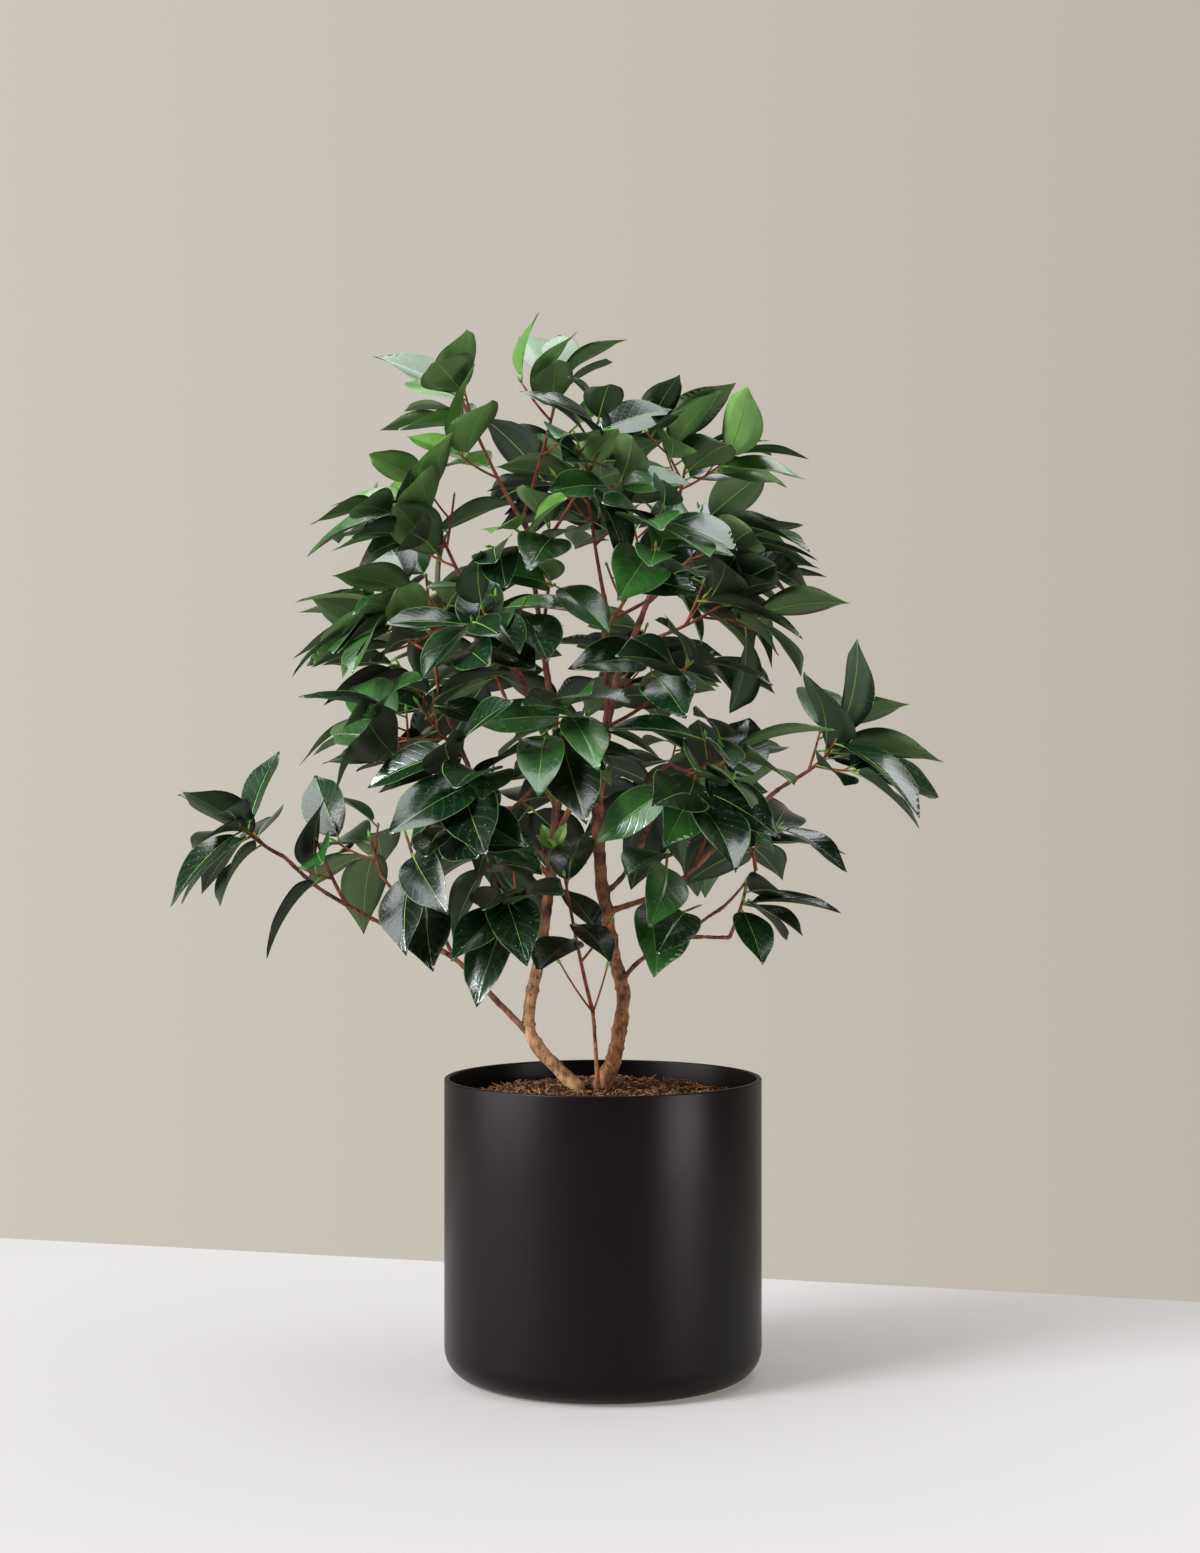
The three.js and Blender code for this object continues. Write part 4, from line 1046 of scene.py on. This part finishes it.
def vein_lines(tree):
    """One on the side veins, which leave the midrib in pairs and lean forward, and nought between."""
    blade = add_node(tree, "UVMap", {"uv_map": "blade"})
    split = add_node(tree, "SeparateXYZ", links={"Vector": blade.outputs["UV"]})
    aside = add_node(tree, "Math", {"operation": "ABSOLUTE"}, {0: split.outputs["Y"]})
    lean = add_node(tree, "Math", {"operation": "MULTIPLY", 1: -VEIN_LEAN}, {0: aside.outputs[0]})
    pairs = add_node(tree, "Math", {"operation": "MULTIPLY_ADD", 1: VEIN_PAIRS}, {
        0: split.outputs["X"], 2: lean.outputs[0]})
    apart = add_node(tree, "Math", {"operation": "PINGPONG", 1: 0.5}, {0: pairs.outputs[0]})
    return add_node(tree, "MapRange", {"From Max": VEIN_WIDTH, "To Min": 1, "To Max": 0},
                    {"Value": apart.outputs[0]})


def leaf_top(name, dark, light, gloss):
    """The waxy upper skin: sunken veins, a sheen broken by leathery grain, a few specks of dust."""
    material, tree, shader = start_material(name, {
        "IOR": 1.5, "Specular IOR Level": 0.8, "Coat Weight": 0.4, "Coat Roughness": 0.15})
    shade, patches = mottle(tree, 28, 3, dark, light, (0.35, 0.65))
    sheen = add_node(tree, "MapRange", {"To Min": gloss, "To Max": gloss + GLOSS_RANGE}, {"Value": patches})
    place = add_node(tree, "TexCoord")
    grain = add_node(tree, "TexNoise", {"Scale": grain_size(2.6), "Detail": 3},
                     {"Vector": place.outputs["Object"]})
    veins = vein_lines(tree)
    relief = add_node(tree, "Math", {"operation": "MULTIPLY_ADD", 1: -0.35}, {
        0: veins.outputs["Result"], 2: grain.outputs["Fac"]})
    leather = add_node(tree, "Bump", {"Strength": 0.4, "Distance": 0.0005},
                       {"Height": relief.outputs["Value"]})
    paler = add_node(tree, "Math", {"operation": "MULTIPLY", 1: 0.1}, {0: veins.outputs["Result"]})
    veined = add_node(tree, "Mix", {"data_type": "RGBA", 7: linear(VEIN_COLOUR)}, {
        0: paler.outputs["Value"], 6: shade})
    dusted = speckle(tree, veined.outputs[2], SPECK_COLOUR, SPECK_SPACING_MM, 0.06, 0.5)
    feed(shader, {"Base Color": dusted, "Roughness": sheen.outputs["Result"],
                  "Normal": leather.outputs["Normal"]})
    return material


GLOSS_RANGE = 0.16
VEIN_COLOUR = "#5E8F3C"
SPECK_SPACING_MM = 6
SPECK_COLOUR = "#8D968A"
# Dark and light tone of each green's upper skin, its least roughness, and the tones underneath.
GREENS = {
    "dark": ("#030C06", "#07170C", 0.16, "#1C2519", "#2B3727"),
    "deep": ("#06170A", "#0E2A13", 0.16, "#283624", "#3A4A33"),
    "mid": ("#183A16", "#2D5A22", 0.20, "#485E36", "#5F764A"),
    # Young: the lighter green of new growth, and painted light as well: both faces brighter, as if lit
    # through from behind.
    "young": ("#3A6420", "#568230", 0.28, "#587E40", "#719753"),
    "sprout": ("#648F24", "#86B23C", 0.34, "#93B84E", "#A8CC66"),
}
# The masses at the top of the crown: young growth, painted brighter as if backlit.
YOUNG_BACKLIT_MASSES = {"crown_top", "top_left"}
MIXED_MASSES = {"top_middle", "upper_left", "top_right", "left_shoulder", "upper_heart"}
# Greens of the sprays in young, mixed and old masses, each up to its share of them all. The lighter
# greens go mostly to the upper masses, partly as painted light shining through from behind.
YOUNG_BACKLIT_SHARES = [("young", 0.75), ("mid", 1)]
MIXED_SHARES = [("young", 0.2), ("mid", 0.6), ("deep", 1)]
OLD_SHARES = [("mid", 0.28), ("deep", 0.74), ("dark", 1)]
pale_edge, _, _ = start_material("pale_leaf_edge", {"Base Color": linear("#557A3C"), "Roughness": 0.5})

sprays = {green: [] for green in GREENS}
shape_random = seeded(5)
for twig in twigs:
    chance = shape_random()
    shares = MIXED_SHARES if twig["mass"] in MIXED_MASSES else OLD_SHARES
    shares = YOUNG_BACKLIT_SHARES if twig["mass"] in YOUNG_BACKLIT_MASSES else shares
    sprays[next(green for green, share in shares if chance < share)] += twig["leaves"]

# Sprouts: two short new shoots stand on the front of the left stem. Their leaves are tender, small
# and the brightest green. Each has its share of the stem's length and the way it leans.
SPROUTS = [(0.74, (-0.3, -0.5, 0.9)), (0.88, (0.3, -0.5, 0.9))]
SPROUT_ROOT = (0, -2, 0)
SPROUT_LEAVES = 5
SPROUT_SPREAD = 0.7
SPROUT_FACE = (0, -0.4, 1.0)
LEAST_SPROUT_LEAF = 16.8
SPROUT_LEAF_RANGE = 12
SPROUT_HALF = 0.2
SPROUT_ARCH = 0.2
for share, lean in SPROUTS:
    point, direction = along(limb_lines["left_stem"], share)
    for k in range(SPROUT_LEAVES):
        heading = unit(around(direction, k * GOLDEN_ANGLE) * SPROUT_SPREAD + lean)
        face = unit(-UP * heading[2] + SPROUT_FACE)
        face = unit(face - heading * face.dot(heading))
        size = LEAST_SPROUT_LEAF + SPROUT_LEAF_RANGE * shape_random()
        sprays["sprout"].append({
            "root": point + SPROUT_ROOT, "heading": heading, "face": face, "across": np.cross(heading, face),
            "length": size, "half": size * SPROUT_HALF, "arch": SPROUT_ARCH})

# No two leaves fold, wave and twist alike.
LEAST_FOLD = 0.75
FOLD_RANGE = 0.6
WAVE_RANGE = 6.3
TWIST_RANGE = 0.5
for leaf in (leaf for leaves in sprays.values() for leaf in leaves):
    leaf["fold"] = LEAST_FOLD + FOLD_RANGE * shape_random()
    leaf["wave"] = WAVE_RANGE * shape_random()
    leaf["twist"] = (shape_random() - 0.5) * TWIST_RANGE
faces_of_blade, slots_of_blade = blade_faces()
places_of_blade = np.array(BLADE_SPOTS)[:, :2]
for green, leaves in sprays.items():
    name = f"{green}_leaves"
    blades = [np.array([blade_spot(leaf, *spot) for spot in BLADE_SPOTS]) for leaf in leaves]
    shapes = [(blade, faces_of_blade) for blade in blades]
    mesh = mesh_from(name, shapes, MM, slots_of_blade * len(leaves))
    mark_places(mesh, np.tile(places_of_blade, (len(leaves), 1)))
    top = leaf_top(f"waxy_{green}_leaf_skin", *GREENS[green][:3])
    under = mottled_material(f"dull_{green}_leaf_underside", 0.6, 0.35, 12, 3, *GREENS[green][3:])
    finish_piece(name, mesh, [top, under, pale_edge], foliage_nodes)


# Stalks and midribs: each leaf hangs on a short stalk of firm green tissue. It grows out of the twig
# and runs on as the pale rib of the blade, thinner towards the tip.
RIB_SIDES = 5
RIB_STEPS = 12
RIB_END = 0.96
RIB_RADII = [(-BLADE_START, 0.85), (0, 0.8), (0.1, 0.5), (1, 0.16)]
pale_rib = mottled_material("pale_green_stalk_and_rib", 0.45, 0.45, 15, 2, "#5F9A34", "#93B85A")


def rib_shape(leaf):
    stations = np.linspace(-BLADE_START, RIB_END, RIB_STEPS)
    shares = [BLADE_START + u * (1 if u < 0 else 1 - BLADE_START) for u in stations]
    line = [midrib_point(leaf, share) - leaf["face"] * LEAF_THICK / 2 for share in shares]
    return ring_tube(np.array(line), np.interp(stations, *zip(*RIB_RADII)), RIB_SIDES)


ribs = [rib_shape(leaf) for leaves in sprays.values() for leaf in leaves]
rib_mesh = mesh_from("stalks_and_midribs", ribs, MM)
finish_piece("stalks_and_midribs", rib_mesh, [pale_rib], foliage_nodes)


# Buds: a pointed bright green bud, wrapped in smooth scales, stands at the tip of each twig and
# shoot. Its profile is shares of its length and of its half thickness.
BUD_PROFILE = [(0, 0.7), (0.25, 1.0), (0.55, 0.85), (0.8, 0.4), (1, 0.06)]
BUD_SIDES = 6
LEAST_BUD = 5
BUD_RANGE = 4
LEAST_BUD_THICKNESS = 2
bud_skin, _, _ = start_material("fresh_green_bud_scale", {"Base Color": linear("#6FA83A"), "Roughness": 0.4})


def bud_shape(place, axis, length, thickness):
    line = np.array([place + axis * length * share for share, _ in BUD_PROFILE])
    return ring_tube(line, [thickness / 2 * wide for _, wide in BUD_PROFILE], BUD_SIDES)


bud_random = seeded(21)
buds = []
for twig in twigs:
    tip, axis = along(twig["line"], 1)
    length = LEAST_BUD + BUD_RANGE * bud_random()
    buds.append(bud_shape(tip, axis, length, LEAST_BUD_THICKNESS + bud_random()))
finish_piece("buds", mesh_from("buds", buds, MM), [bud_skin], foliage_nodes)


size = {"cad": [list(corner) for corner in cad_box], "visual": [list(corner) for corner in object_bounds()]}
